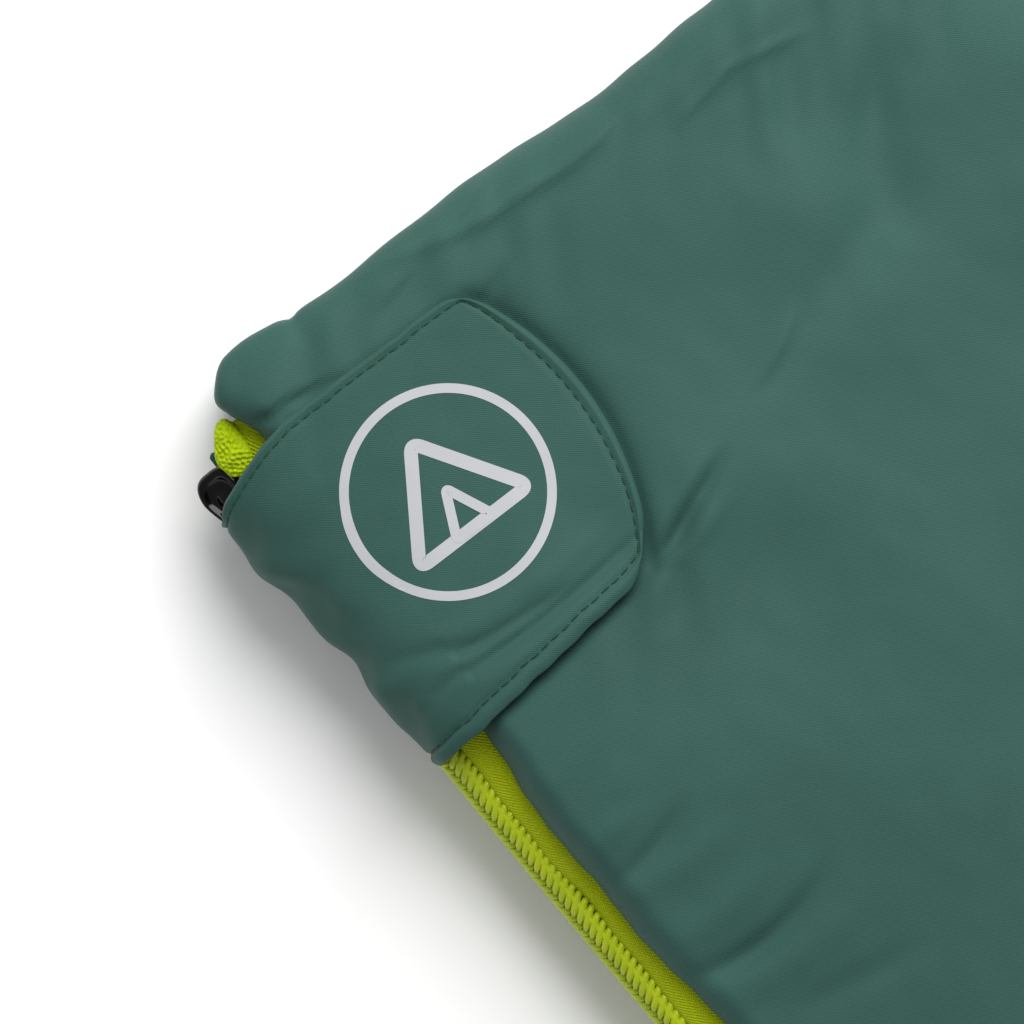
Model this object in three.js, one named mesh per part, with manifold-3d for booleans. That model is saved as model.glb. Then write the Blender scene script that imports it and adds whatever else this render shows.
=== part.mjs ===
// Zip-up camp quilt, folded lengthwise and zipped shut, lying flat.
// Millimetres, +Z up. The origin is on the ground under the middle of the
// folded quilt: +Y runs to the head end, -X is the zipped side and +X the fold.
import * as THREE from 'three';
import { mergeVertices } from 'three/addons/utils/BufferGeometryUtils.js';
import Module from 'manifold-3d';

// Driving dimensions
const LENGTH = 2000; // head to foot, over everything
const WIDTH = 716; // zipped side to fold, over everything
const PAD_HEIGHT = 42; // the two padded halves, one on the other
const HALVES_GAP = 1.2; // between the two linings, room for the care label
const GAP = 0.3; // between neighbouring pieces
const PLY = 0.8; // shell and lining fabric
const RIM = 17; // from the padded rim out to the flap and pull tabs
const RIM_ROUND = 8; // rounding of the padded rim
const HEAD_CORNER = 14; // corner radius of a padded half at the head
const FOOT_CORNER = 60; // corner radius that the zip runs round

const MID_Z = PAD_HEIGHT / 2;
const HALF_HEIGHT = (PAD_HEIGHT - HALVES_GAP) / 2;
const HEAD_Y = LENGTH / 2;
const RIM_X = RIM - WIDTH / 2;
const FOLD_X = WIDTH / 2 - MID_Z;
const FOLD_REACH = MID_Z - GAP; // radius of the shell round the fold
const SEAM_Z = 12; // height of the seam between shell and lining in the lower half

// Zip, measured outwards from the padded rim and down from the middle plane
const CHAIN_SPLIT = 0.8; // half the gap between the two rows of coils
const COIL_WIDTH = 2.9;
const COIL_IN = 7.9;
const COIL_OUT = 10.3;
const TAPE = 0.8; // thickness of the tape
const TAPE_OUT = COIL_IN - GAP;
const TAPE_BEND = 5.4; // below the middle plane
const TAPE_ROOT = 8.2; // below the middle plane
const CHAIN_HEAD_Y = HEAD_Y - 14;
const CHAIN_FOOT_X = FOLD_X - 11;
const TAPE_HEAD_Y = HEAD_Y - 10;
const TAPE_FOOT_X = FOLD_X - 4;
const CORNER_STEPS = 10;
const STOP_LENGTH = 2.6;

// Sliders, both alike
const SLIDER_LENGTH = 16;
const SLIDER_HALF_HEIGHT = 3.8;
const SLIDER_INNER = [4.7, 6.2]; // inner plate, outwards from the rim
const SLIDER_OUTER = [10.6, 12.0]; // outer plate
const SLIDER_WEB = 1.0; // wedge between the two rows of coils
const CROWN_LENGTH = 14;
const CROWN_FOOT = 2;
const CROWN_TOP = 14.8;
const CROWN_BEAM = 0.9;
const CROWN_WIDTH = 2.4;
const PULL_OUT = 12.95; // pivot line of the pull tab
const PULL_THICK = 1.2;
const PULL_WIDTH = 7.2;
const PULL_LENGTH = 34;
const PULL_WINDOW = 7.4; // length of the window round the crown
const PULL_BAR = 0.6; // half the bar that turns under the crown
const RIM_Y = CROWN_TOP - LENGTH / 2;
const HEAD_SLIDER_Y = CHAIN_HEAD_Y - 0.2 - SLIDER_LENGTH / 2;
const FOOT_SLIDER_X = CHAIN_FOOT_X - 0.2 - SLIDER_LENGTH / 2;

// Closing flap over the head end of the zip
const FLAP_PLY = 0.7;
const FLAP_HEAD_Y = HEAD_Y - 17.3;
const FLAP_FOOT_Y = HEAD_Y - 96;
const FLAP_TIP_X = RIM_X + 63.5;
const FLAP_CORNER = 22;
const FLAP_ROOT_Z = 5;
const PAD_THICK = 1.0; // hook pad and loop pad
const HOOK_PAD = [16, 44];
const HOOK_PAD_AT = [RIM_X + 47, HEAD_Y - 57];

const FLAP_LIFT = PAD_HEIGHT + 2 * PAD_THICK + 3 * GAP; // underside of the flap
const FLAP_SPAN = FLAP_HEAD_Y - FLAP_FOOT_Y;
const FLAP_MID_Y = (FLAP_HEAD_Y + FLAP_FOOT_Y) / 2;
const FLAP_SIDE_TOP = FLAP_LIFT - 3 * GAP;
const FLAP_SIDE_FOOT = FLAP_ROOT_Z + 3 * GAP;

// Finishes
const finish = (color, roughness, metalness = 0) => ({ color, roughness, metalness });
const SHELL = finish('#43655f', 0.6);
const LINING = finish('#5c6f6a', 0.75);
const BATT = finish('#e6e6e0', 0.95);
const ZIP_TAPE = finish('#b4c42c', 0.8);
const ZIP_COIL = finish('#a8ba26', 0.45);
const BLACK_ENAMEL = finish('#161717', 0.25);
const STOP_METAL = finish('#8f9294', 0.4, 1);
const FASTENER = finish('#2d3a37', 0.95);
const LABEL = finish('#e9e9e6', 0.8);

const wasm = await Module();
wasm.setup();

// A closed three.js geometry as a solid that can be cut and joined
function toSolid(geometry) {
  geometry.deleteAttribute('normal');
  geometry.deleteAttribute('uv');
  const merged = mergeVertices(geometry);
  const vertProperties = new Float32Array(merged.attributes.position.array);
  const triVerts = new Uint32Array(merged.index.array);
  return new wasm.Manifold(new wasm.Mesh({ numProp: 3, vertProperties, triVerts }));
}

function toGeometry(solid) {
  const mesh = solid.getMesh();
  const geometry = new THREE.BufferGeometry();
  geometry.setAttribute('position', new THREE.BufferAttribute(mesh.vertProperties, 3));
  geometry.setIndex(new THREE.BufferAttribute(mesh.triVerts, 1));
  geometry.computeVertexNormals();
  return geometry;
}

function piece(name, geometry, look) {
  const mesh = new THREE.Mesh(geometry, new THREE.MeshStandardMaterial(look));
  mesh.name = name;
  return mesh;
}

// A block between two opposite corners
function block(low, high) {
  const size = high.map((value, axis) => value - low[axis]);
  const geometry = new THREE.BoxGeometry(...size);
  geometry.translate(...low.map((value, axis) => value + size[axis] / 2));
  return geometry;
}

// An outline in X and Z, carried along Y between two stations
function alongY(shape, from, to, curveSegments) {
  const geometry = new THREE.ExtrudeGeometry(shape, { depth: to - from, bevelEnabled: false, curveSegments });
  geometry.rotateX(Math.PI / 2);
  geometry.translate(0, to, 0);
  return geometry;
}

// Outline of a padded half seen from above, running past the fold line
function panelOutline(inset) {
  const left = RIM_X + inset;
  const right = FOLD_X + PAD_HEIGHT;
  const foot = RIM_Y + inset;
  const head = HEAD_Y - inset;
  const footRadius = FOOT_CORNER - inset;
  const headRadius = HEAD_CORNER - inset;
  const shape = new THREE.Shape();
  shape.moveTo(right, foot);
  shape.lineTo(right, head);
  shape.lineTo(left + headRadius, head);
  shape.absarc(left + headRadius, head - headRadius, headRadius, Math.PI / 2, Math.PI, false);
  shape.lineTo(left, foot + footRadius);
  shape.absarc(left + footRadius, foot + footRadius, footRadius, Math.PI, 1.5 * Math.PI, false);
  return shape;
}

// A padded half with rounded rims, drawn in by inset all over
function padSolid(inset, low, high) {
  const round = RIM_ROUND - inset;
  const geometry = new THREE.ExtrudeGeometry(panelOutline(inset), {
    depth: high - low - 2 * (inset + round),
    bevelThickness: round,
    bevelSize: round,
    bevelOffset: -round,
    bevelSegments: 3,
    curveSegments: 6,
  });
  geometry.translate(0, 0, low + inset + round);
  return toSolid(geometry);
}

// What is left of a solid on the zip side of the fold line, between two heights
function keepBetween(solid, low, high) {
  const room = [[-WIDTH, -LENGTH, low], [FOLD_X, LENGTH, high]];
  return solid.intersect(toSolid(block(...room)));
}

// Shell, batting and lining of one half. The shell and the lining are shallow
// trays that meet at the seam; the batting fills them.
function paddedHalf(name, low, shellSide) {
  const high = low + HALF_HEIGHT;
  const seam = shellSide < 0 ? low + SEAM_Z : high - SEAM_Z;
  const skin = padSolid(0, low, high).subtract(padSolid(PLY, low, high));
  const below = keepBetween(skin, low - GAP, seam - GAP / 2);
  const above = keepBetween(skin, seam + GAP / 2, high + GAP);
  const batt = keepBetween(padSolid(PLY + GAP, low, high), low, high);
  const shell = shellSide < 0 ? below : above;
  const lining = shellSide < 0 ? above : below;
  return [
    piece(`shell_${name}`, toGeometry(shell), SHELL),
    piece(`batt_${name}`, toGeometry(batt), BATT),
    piece(`lining_${name}`, toGeometry(lining), LINING),
  ];
}

// Half a ring round the fold line, the way that fabric turns back on itself
function foldRing(inner, outer) {
  const quarter = Math.PI / 2;
  const shape = new THREE.Shape();
  shape.absarc(FOLD_X + GAP, MID_Z, outer, -quarter, quarter, false);
  shape.absarc(FOLD_X + GAP, MID_Z, inner, quarter, -quarter, true);
  return alongY(shape, RIM_Y, HEAD_Y, 10);
}

// The line of the padded rim that the zip follows: down the side, round the
// foot corner and along the foot. One step for each straight run.
class ZipLine extends THREE.Curve {
  constructor(headY, footX) {
    super();
    this.headY = headY;
    this.footX = footX;
  }

  getPointAt(u) {
    const step = Math.round(u * (CORNER_STEPS + 2));
    if (step === 0) return new THREE.Vector3(RIM_X, this.headY, MID_Z);
    if (step === CORNER_STEPS + 2) return new THREE.Vector3(this.footX, RIM_Y, MID_Z);
    const angle = Math.PI + ((step - 1) / CORNER_STEPS) * (Math.PI / 2);
    const x = RIM_X + FOOT_CORNER + FOOT_CORNER * Math.cos(angle);
    const y = RIM_Y + FOOT_CORNER + FOOT_CORNER * Math.sin(angle);
    return new THREE.Vector3(x, y, MID_Z);
  }

  getTangentAt(u, target = new THREE.Vector3()) {
    const turned = THREE.MathUtils.clamp(u * (CORNER_STEPS + 2) - 1, 0, CORNER_STEPS);
    const angle = (turned / CORNER_STEPS) * (Math.PI / 2);
    return target.set(Math.sin(angle), -Math.cos(angle), 0);
  }
}

// A section given as (outwards from the rim, below the middle plane), carried
// along the zip line. side is -1 for the lower row and 1 for the upper one.
function alongZip(section, side, headY, footX) {
  const shape = new THREE.Shape(section.map(([out, below]) => new THREE.Vector2(-side * below, -out)));
  const extrudePath = new ZipLine(headY, footX);
  return new THREE.ExtrudeGeometry(shape, { steps: CORNER_STEPS + 2, extrudePath, bevelEnabled: false });
}

const COIL_SECTION = [
  [COIL_IN, CHAIN_SPLIT],
  [COIL_OUT, CHAIN_SPLIT],
  [COIL_OUT, CHAIN_SPLIT + COIL_WIDTH],
  [COIL_IN, CHAIN_SPLIT + COIL_WIDTH],
];

const TAPE_SECTION = [
  [TAPE_OUT, CHAIN_SPLIT],
  [TAPE_OUT, TAPE_BEND],
  [GAP, TAPE_ROOT + TAPE],
  [GAP, TAPE_ROOT],
  [TAPE_OUT - TAPE, TAPE_BEND - TAPE / 2],
  [TAPE_OUT - TAPE, CHAIN_SPLIT],
];

// One row of the zip: its tape, its coil and the stops at both ends
function zipRow(name, side) {
  const near = MID_Z + side * CHAIN_SPLIT;
  const far = MID_Z + side * (CHAIN_SPLIT + COIL_WIDTH);
  const [low, high] = [Math.min(near, far), Math.max(near, far)];
  const headStop = block(
    [RIM_X - COIL_OUT, CHAIN_HEAD_Y + GAP, low],
    [RIM_X - COIL_IN, CHAIN_HEAD_Y + GAP + STOP_LENGTH, high],
  );
  const footStop = block(
    [CHAIN_FOOT_X + GAP, RIM_Y - COIL_OUT, low],
    [CHAIN_FOOT_X + GAP + STOP_LENGTH, RIM_Y - COIL_IN, high],
  );
  return [
    piece(`zip_tape_${name}`, alongZip(TAPE_SECTION, side, TAPE_HEAD_Y, TAPE_FOOT_X), ZIP_TAPE),
    piece(`zip_coil_${name}`, alongZip(COIL_SECTION, side, CHAIN_HEAD_Y, CHAIN_FOOT_X), ZIP_COIL),
    piece(`zip_stop_head_${name}`, headStop, STOP_METAL),
    piece(`zip_stop_foot_${name}`, footStop, STOP_METAL),
  ];
}

// Slider in its own frame: X outwards, Y along the zip, Z up. Two plates and
// the wedge between them, with the crown that holds the pull tab.
function sliderBody() {
  const half = SLIDER_LENGTH / 2;
  const height = SLIDER_HALF_HEIGHT;
  const inner = block([SLIDER_INNER[0], -half, -height], [SLIDER_INNER[1], half, height]);
  const outer = block([SLIDER_OUTER[0], -half, -height], [SLIDER_OUTER[1], half, height]);
  const web = block([SLIDER_INNER[0] + GAP, -half, -SLIDER_WEB / 2], [SLIDER_OUTER[1] - GAP, half, SLIDER_WEB / 2]);
  const crownHalf = CROWN_LENGTH / 2;
  const crown = block(
    [SLIDER_OUTER[1] - GAP, -crownHalf, -CROWN_WIDTH / 2],
    [CROWN_TOP, crownHalf, CROWN_WIDTH / 2],
  );
  const windowHalf = crownHalf - CROWN_FOOT;
  const crownWindow = block(
    [SLIDER_OUTER[1], -windowHalf, -CROWN_WIDTH],
    [CROWN_TOP - CROWN_BEAM, windowHalf, CROWN_WIDTH],
  );
  const arch = toSolid(crown).subtract(toSolid(crownWindow));
  return toGeometry(toSolid(inner).add(toSolid(outer)).add(toSolid(web)).add(arch));
}

// Pull tab in the slider's frame: a flat tab with a window round the crown,
// lying along direction (1 or -1) on Y
function pullTab(direction) {
  const half = PULL_WIDTH / 2;
  const arm = (PULL_WIDTH - CROWN_WIDTH) / 2 - 2 * GAP;
  const shape = new THREE.Shape();
  shape.moveTo(-PULL_BAR, -half);
  shape.lineTo(PULL_LENGTH - half, -half);
  shape.absarc(PULL_LENGTH - half, 0, half, -Math.PI / 2, Math.PI / 2, false);
  shape.lineTo(-PULL_BAR, half);
  const hole = new THREE.Path();
  hole.moveTo(PULL_BAR, -half + arm);
  hole.lineTo(PULL_BAR, half - arm);
  hole.lineTo(PULL_BAR + PULL_WINDOW, half - arm);
  hole.lineTo(PULL_BAR + PULL_WINDOW, -half + arm);
  shape.holes.push(hole);
  const geometry = new THREE.ExtrudeGeometry(shape, { depth: PULL_THICK, bevelEnabled: false, curveSegments: 8 });
  geometry.translate(0, 0, -PULL_THICK / 2);
  geometry.rotateX(Math.PI / 2);
  geometry.rotateZ(direction * Math.PI / 2);
  geometry.translate(PULL_OUT, 0, 0);
  return geometry;
}

// A slider with its pull tab, turned so that its X points out of the quilt
function slider(name, x, y, turn, direction) {
  const group = new THREE.Group();
  group.position.set(x, y, MID_Z);
  group.rotation.z = turn;
  group.add(piece(`${name}_slider_body`, sliderBody(), BLACK_ENAMEL));
  group.add(piece(`${name}_slider_pull`, pullTab(direction), BLACK_ENAMEL));
  return group;
}

// The flap's free end, lying on the upper half: one ply
function flapTipPly(low) {
  const root = RIM_X - RIM + 2;
  const shape = new THREE.Shape();
  shape.moveTo(root, FLAP_FOOT_Y);
  shape.lineTo(FLAP_TIP_X - FLAP_CORNER, FLAP_FOOT_Y);
  shape.absarc(FLAP_TIP_X - FLAP_CORNER, FLAP_FOOT_Y + FLAP_CORNER, FLAP_CORNER, -Math.PI / 2, 0, false);
  shape.absarc(FLAP_TIP_X - FLAP_CORNER, FLAP_HEAD_Y - FLAP_CORNER, FLAP_CORNER, 0, Math.PI / 2, false);
  shape.lineTo(root, FLAP_HEAD_Y);
  const geometry = new THREE.ExtrudeGeometry(shape, { depth: FLAP_PLY, bevelEnabled: false, curveSegments: 8 });
  geometry.translate(0, 0, low);
  return geometry;
}

// The part of the flap that stands outside the zip: one ply
function flapSidePly(outermost) {
  const x = RIM_X - outermost;
  return block([x, FLAP_FOOT_Y, FLAP_SIDE_FOOT], [x + FLAP_PLY, FLAP_HEAD_Y, FLAP_SIDE_TOP]);
}

// A fastener pad, centred at its place near the tip of the flap
function fastenerPad(low) {
  const geometry = new THREE.BoxGeometry(HOOK_PAD[0], HOOK_PAD[1], PAD_THICK);
  geometry.translate(HOOK_PAD_AT[0], HOOK_PAD_AT[1], low + PAD_THICK / 2);
  return geometry;
}

function flapRootSeam() {
  const geometry = new THREE.BoxGeometry(RIM - 2, FLAP_SPAN, FLAP_PLY);
  geometry.translate(RIM_X - GAP - (RIM - 2) / 2, FLAP_MID_Y, FLAP_ROOT_Z - FLAP_PLY);
  return geometry;
}

const quilt = new THREE.Group();

// Padded halves and the fold between them
quilt.add(...paddedHalf('bottom', 0, -1));
quilt.add(...paddedHalf('top', PAD_HEIGHT - HALF_HEIGHT, 1));
quilt.add(piece('shell_fold', foldRing(FOLD_REACH - PLY, FOLD_REACH), SHELL));
quilt.add(piece('batt_fold', foldRing(2 * PLY, FOLD_REACH - PLY - GAP), BATT));

// Zip
quilt.add(...zipRow('lower', -1));
quilt.add(...zipRow('upper', 1));
quilt.add(slider('head', RIM_X, HEAD_SLIDER_Y, Math.PI, 1));
quilt.add(slider('foot', FOOT_SLIDER_X, RIM_Y, -Math.PI / 2, -1));

// Folded end of the upper tape, and the fabric tab under the head end of the zip
const tapeFold = [[RIM_X - 8.6, HEAD_Y - 20.5, MID_Z + 9.8], [RIM_X - 2, HEAD_Y - 9.5, MID_Z + 11.6]];
quilt.add(piece('zip_tape_end', block(...tapeFold), ZIP_TAPE));
const endTab = [[RIM_X - 12, HEAD_Y - 20, MID_Z - 11], [RIM_X - 1, HEAD_Y - 10, MID_Z - 10]];
quilt.add(piece('zip_end_tab', block(...endTab), SHELL));

// Closing flap, its seam, and the two halves of its fastener
quilt.add(piece('flap_root_seam', flapRootSeam(), SHELL));
quilt.add(piece('flap_side_outer', flapSidePly(RIM), SHELL));
quilt.add(piece('flap_side_inner', flapSidePly(RIM - FLAP_PLY - GAP), SHELL));
quilt.add(piece('flap_tip_inner', flapTipPly(FLAP_LIFT), SHELL));
quilt.add(piece('flap_tip_outer', flapTipPly(FLAP_LIFT + FLAP_PLY + GAP), SHELL));
quilt.add(piece('hook_pad', fastenerPad(PAD_HEIGHT + PAD_THICK + 2 * GAP), FASTENER));
quilt.add(piece('loop_pad', fastenerPad(PAD_HEIGHT + GAP), FASTENER));

// Care label, blank, sewn into the side seam between the two halves
const label = [[RIM_X + 10, HEAD_Y - 420, MID_Z - 0.3], [RIM_X + 60, HEAD_Y - 385, MID_Z + 0.3]];
quilt.add(piece('care_label', block(...label), LABEL));

export default quilt;
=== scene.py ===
"""Zip-up camp quilt, folded lengthwise and zipped shut, lying on a pale floor.

Lengths are metres in the row frame: +Y runs to the head end, -X is the zipped
side, +X the fold and +Z up. Figures written as n * MM are millimetres.
"""

from __future__ import annotations

import logging
import math
from dataclasses import dataclass
from enum import Enum
from itertools import product
from typing import Callable, Sequence

import bpy
import numpy as np
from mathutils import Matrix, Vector

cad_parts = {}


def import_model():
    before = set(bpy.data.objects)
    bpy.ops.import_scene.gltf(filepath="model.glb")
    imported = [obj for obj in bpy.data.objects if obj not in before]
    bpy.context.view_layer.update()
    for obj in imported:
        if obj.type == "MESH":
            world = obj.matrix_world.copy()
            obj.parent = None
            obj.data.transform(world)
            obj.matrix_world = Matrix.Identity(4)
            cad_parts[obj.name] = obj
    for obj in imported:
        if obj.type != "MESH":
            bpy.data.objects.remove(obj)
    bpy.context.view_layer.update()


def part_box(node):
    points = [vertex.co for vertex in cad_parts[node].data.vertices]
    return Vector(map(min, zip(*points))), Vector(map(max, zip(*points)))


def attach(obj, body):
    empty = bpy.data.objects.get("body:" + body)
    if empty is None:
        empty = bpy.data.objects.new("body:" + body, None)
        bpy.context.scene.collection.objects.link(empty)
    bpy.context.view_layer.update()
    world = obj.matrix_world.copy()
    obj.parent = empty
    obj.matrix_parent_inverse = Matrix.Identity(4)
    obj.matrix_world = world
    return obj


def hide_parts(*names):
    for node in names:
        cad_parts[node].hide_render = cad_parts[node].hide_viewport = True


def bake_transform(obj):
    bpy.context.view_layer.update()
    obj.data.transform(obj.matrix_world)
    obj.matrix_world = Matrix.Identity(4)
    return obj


LOG = logging.getLogger("camp_quilt")
MM = 0.001
CLOTH_UV = "cloth"
WAVE_COUNT = 22
CLOTH_SPECULAR = 0.08
SHEEN_ROUGHNESS = 0.4
Array = np.ndarray
Profile = Sequence[tuple[float, float]]
Box = tuple[Vector, Vector]
Pair = tuple[float, float]
Plane = tuple[Array, Array]
Piece = bpy.types.Object
Material = bpy.types.Material
Socket = bpy.types.NodeSocket


class Side(Enum):
    """Which half of the folded quilt a piece belongs to."""

    TOP = 1
    BOTTOM = -1


# ---- number tools


def smoothstep(value: Array, low: float, high: float) -> Array:
    """0 below low and 1 above high, with a smooth cubic between them."""
    t = np.clip((value - low) / (high - low), 0.0, 1.0)
    return t * t * (3.0 - 2.0 * t)


def roll(distance: Array, width: float) -> Array:
    """Quarter of an ellipse: 0 at the edge, 1 from width inwards."""
    t = np.clip(distance / width, 0.0, 1.0)
    return np.sqrt(1.0 - (1.0 - t) ** 2)


def unit(vectors: Array) -> Array:
    """The vectors scaled to a length of 1."""
    return vectors / np.linalg.norm(vectors, axis=-1, keepdims=True)


def loop_heading(loop: Array) -> Array:
    """Unit direction at each point of a closed line whose last point repeats the first."""
    ahead = np.roll(loop[:-1], -1, axis=0) - np.roll(loop[:-1], 1, axis=0)
    return unit(np.vstack([ahead, ahead[:1]]))


def rotated(x: Array, z: Array, angle: float) -> Plane:
    """A point's two coordinates after a turn about the origin."""
    c, s = math.cos(angle), math.sin(angle)
    return x * c - z * s, x * s + z * c


def mirrored(half: Profile, waist: float) -> Profile:
    """A section from top to bottom: half of it, a waist at height 0 and the other half."""
    return [*half, (waist, 0.0), *((scale, -height) for scale, height in half[::-1])]


def along_line(line: Array) -> Array:
    """Distance of each point of a line from its first point, along the line."""
    return np.concatenate([[0.0], np.cumsum(np.linalg.norm(np.diff(line, axis=0), axis=1))])


def circle(count: int) -> Array:
    """Evenly spaced angles round a full turn."""
    return np.linspace(0.0, math.tau, count + 1)[:-1]


def oval(turn: Array, half: Sequence[float], power: Sequence[float]) -> Array:
    """Points of an oval with these half-widths, squarer the lower its powers."""
    sides = zip(half, (np.cos(turn), np.sin(turn)), power)
    return np.column_stack([size * np.sign(side) * np.abs(side) ** shape for size, side, shape in sides])


def waves(x: Array, y: Array, shortest: float, longest: float, seed: int, stretch: float = 1.0) -> Array:
    """Smooth random relief, a sum of cosine waves of random direction.

    Args:
        x: first coordinate of each point.
        y: second coordinate of each point.
        shortest: shortest wavelength.
        longest: longest wavelength.
        seed: seed of the random draws.
        stretch: how much longer the relief is along the second coordinate.

    Returns:
        Values with a spread of about 1.
    """
    rng = np.random.default_rng(seed)
    total = np.zeros(np.broadcast(x, y).shape)
    for _ in range(WAVE_COUNT):
        length = shortest * (longest / shortest) ** rng.random()
        angle = rng.random() * math.tau
        phase = rng.random() * math.tau
        across = math.cos(angle) / length
        along = math.sin(angle) / (length * stretch)
        total += np.cos(math.tau * (across * x + along * y) + phase)
    return total / math.sqrt(WAVE_COUNT / 2.0)


def ripple(at: Array, shortest: float, longest: float, seed: int) -> Array:
    """Smooth random relief along one coordinate."""
    return waves(at, 0.0 * at, shortest, longest, seed)


def smooth_line(x: Array, knots: Profile) -> Array:
    """A smooth curve through a few (place, value) pairs, level beyond them.

    Between two knots it is a cubic whose slopes are those of the line through
    the knots on either side.

    Args:
        x: places to read the curve at.
        knots: (place, value) pairs in rising order of place.

    Returns:
        The curve's values.
    """
    places, values = np.array(knots, float).T
    slopes = np.gradient(values, places)
    slopes[[0, -1]] = 0.0
    at = np.clip(x, places[0], places[-1])
    k = np.clip(np.searchsorted(places, at) - 1, 0, len(places) - 2)
    gap = places[k + 1] - places[k]
    t = (at - places[k]) / gap
    start = values[k] + (values[k + 1] - values[k]) * t * t * (3 - 2 * t)
    bend = gap * (slopes[k] * t * (1 - t) ** 2 - slopes[k + 1] * t * t * (1 - t))
    return start + bend


def round_corner(first: Array, second: Array, radius: float) -> Plane:
    """Bends the corner of a square grid into a round corner.

    Each point is given by its distances from the two edges. Inside the corner
    square of side radius, the square is pressed into a quarter of a disc.

    Args:
        first: distance from the first edge.
        second: distance from the second edge.
        radius: radius of the rounded corner.

    Returns:
        The two distances after rounding.
    """
    p = np.clip(1.0 - first / radius, 0.0, None)
    q = np.clip(1.0 - second / radius, 0.0, None)
    inside = (p > 0) & (q > 0)
    bent_first = radius * (1.0 - p * np.sqrt(1.0 - 0.5 * q * q))
    bent_second = radius * (1.0 - q * np.sqrt(1.0 - 0.5 * p * p))
    return np.where(inside, bent_first, first), np.where(inside, bent_second, second)


def graded(spans: Sequence[Pair]) -> Array:
    """Stations from 0 outwards, each span given as (where it ends, its spacing)."""
    stations = [np.array([0.0])]
    start = 0.0
    for end, spacing in spans:
        count = max(1, round((end - start) / spacing))
        stations.append(np.linspace(start, end, count + 1)[1:])
        start = end
    return np.concatenate(stations)


def rim_stations(width: float, count: int) -> Array:
    """Stations over a rolled edge, close together where it is steep."""
    angle = np.linspace(0.0, math.pi / 2, count + 1)
    return width * (1.0 - np.cos(angle))


# ---- mesh tools


@dataclass
class MeshParts:
    """Vertices, faces, flat cloth coordinates and a material number per face."""

    points: Array
    faces: Array
    cloth: Array
    slots: Array

    @staticmethod
    def joined(parts: Sequence[MeshParts]) -> MeshParts:
        """Puts several sets of parts into one, renumbering their faces."""
        offset = 0
        faces = []
        for part in parts:
            faces.append(part.faces + offset)
            offset += len(part.points)
        return MeshParts(
            np.concatenate([p.points for p in parts]),
            np.concatenate(faces),
            np.concatenate([p.cloth for p in parts]),
            np.concatenate([p.slots for p in parts]),
        )


def grid_faces(rows: int, columns: int, offset: int = 0, flip: bool = False) -> Array:
    """Quads over a grid of rows by columns points, counter-clockwise from above."""
    index = np.arange(rows * columns).reshape(rows, columns) + offset
    corners = [index[:-1, :-1], index[1:, :-1], index[1:, 1:], index[:-1, 1:]]
    quads = np.stack([c.ravel() for c in corners], axis=1)
    return quads[:, ::-1] if flip else quads


def closed_sheet(upper: Array, lower: Array, cloth: Array, lower_slot: int = 0) -> MeshParts:
    """A closed body between two grids of points.

    Args:
        upper: rows by columns by 3 points of the side that faces out.
        lower: the points under them, on the other side.
        cloth: rows by columns by 2 flat cloth coordinates, in metres.
        lower_slot: material number of the lower side.

    Returns:
        The two grids with a wall of quads round their edge.
    """
    rows, columns = upper.shape[:2]
    count = rows * columns
    index = np.arange(count).reshape(rows, columns)
    edge = np.concatenate([index[:, 0], index[-1, 1:], index[-2::-1, -1], index[0, -2:0:-1]])
    after = np.roll(edge, -1)
    wall = np.stack([edge, edge + count, after + count, after], axis=1)
    top = grid_faces(rows, columns)
    under = grid_faces(rows, columns, count, flip=True)
    slots = np.concatenate([np.zeros(len(top)), np.full(len(under), lower_slot), np.zeros(len(wall))])
    points = np.concatenate([upper.reshape(-1, 3), lower.reshape(-1, 3)])
    flat = cloth.reshape(-1, 2)
    return MeshParts(points, np.concatenate([top, under, wall]), np.concatenate([flat, flat]), slots)


def capped_rings(count: int, around: int) -> Array:
    """Faces over rings of points, closed at each end by a point numbered after the rings."""
    index = np.arange(count * around).reshape(count, around)
    after = np.roll(index, -1, axis=1)
    quads = np.stack([index[:-1], after[:-1], after[1:], index[1:]], axis=-1).reshape(-1, 4)
    ends = [(after[0], index[0]), (index[-1], after[-1])]
    caps = [np.stack([np.full(around, index.size + k), a, b, b], axis=1) for k, (a, b) in enumerate(ends)]
    return np.concatenate([quads, *caps])


def tube(path: Array, side: Array, up: Array, radii: Array, around: int) -> MeshParts:
    """A capped tube with an oval section along a path.

    Args:
        path: n by 3 points of the centre line.
        side: n by 3 unit vectors across the tube.
        up: n by 3 unit vectors square to side and to the path.
        radii: n by 2 half-widths along side and up.
        around: number of points round the section.

    Returns:
        One closed body; its ends are drawn together to a small cap.
    """
    angle = np.arange(around) * (math.tau / around)
    ring = (
        path[:, None]
        + side[:, None] * (radii[:, :1] * np.cos(angle))[:, :, None]
        + up[:, None] * (radii[:, 1:] * np.sin(angle))[:, :, None]
    )
    length = along_line(path)
    flat = np.stack(np.broadcast_arrays(angle[None] * radii.mean(), length[:, None]), axis=-1).reshape(-1, 2)
    cloth = np.concatenate([flat, [[0.0, 0.0], [0.0, length[-1]]]])
    points = np.concatenate([ring.reshape(-1, 3), path[:1], path[-1:]])
    faces = capped_rings(len(path), around)
    return MeshParts(points, faces, cloth, np.zeros(len(faces)))


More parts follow.
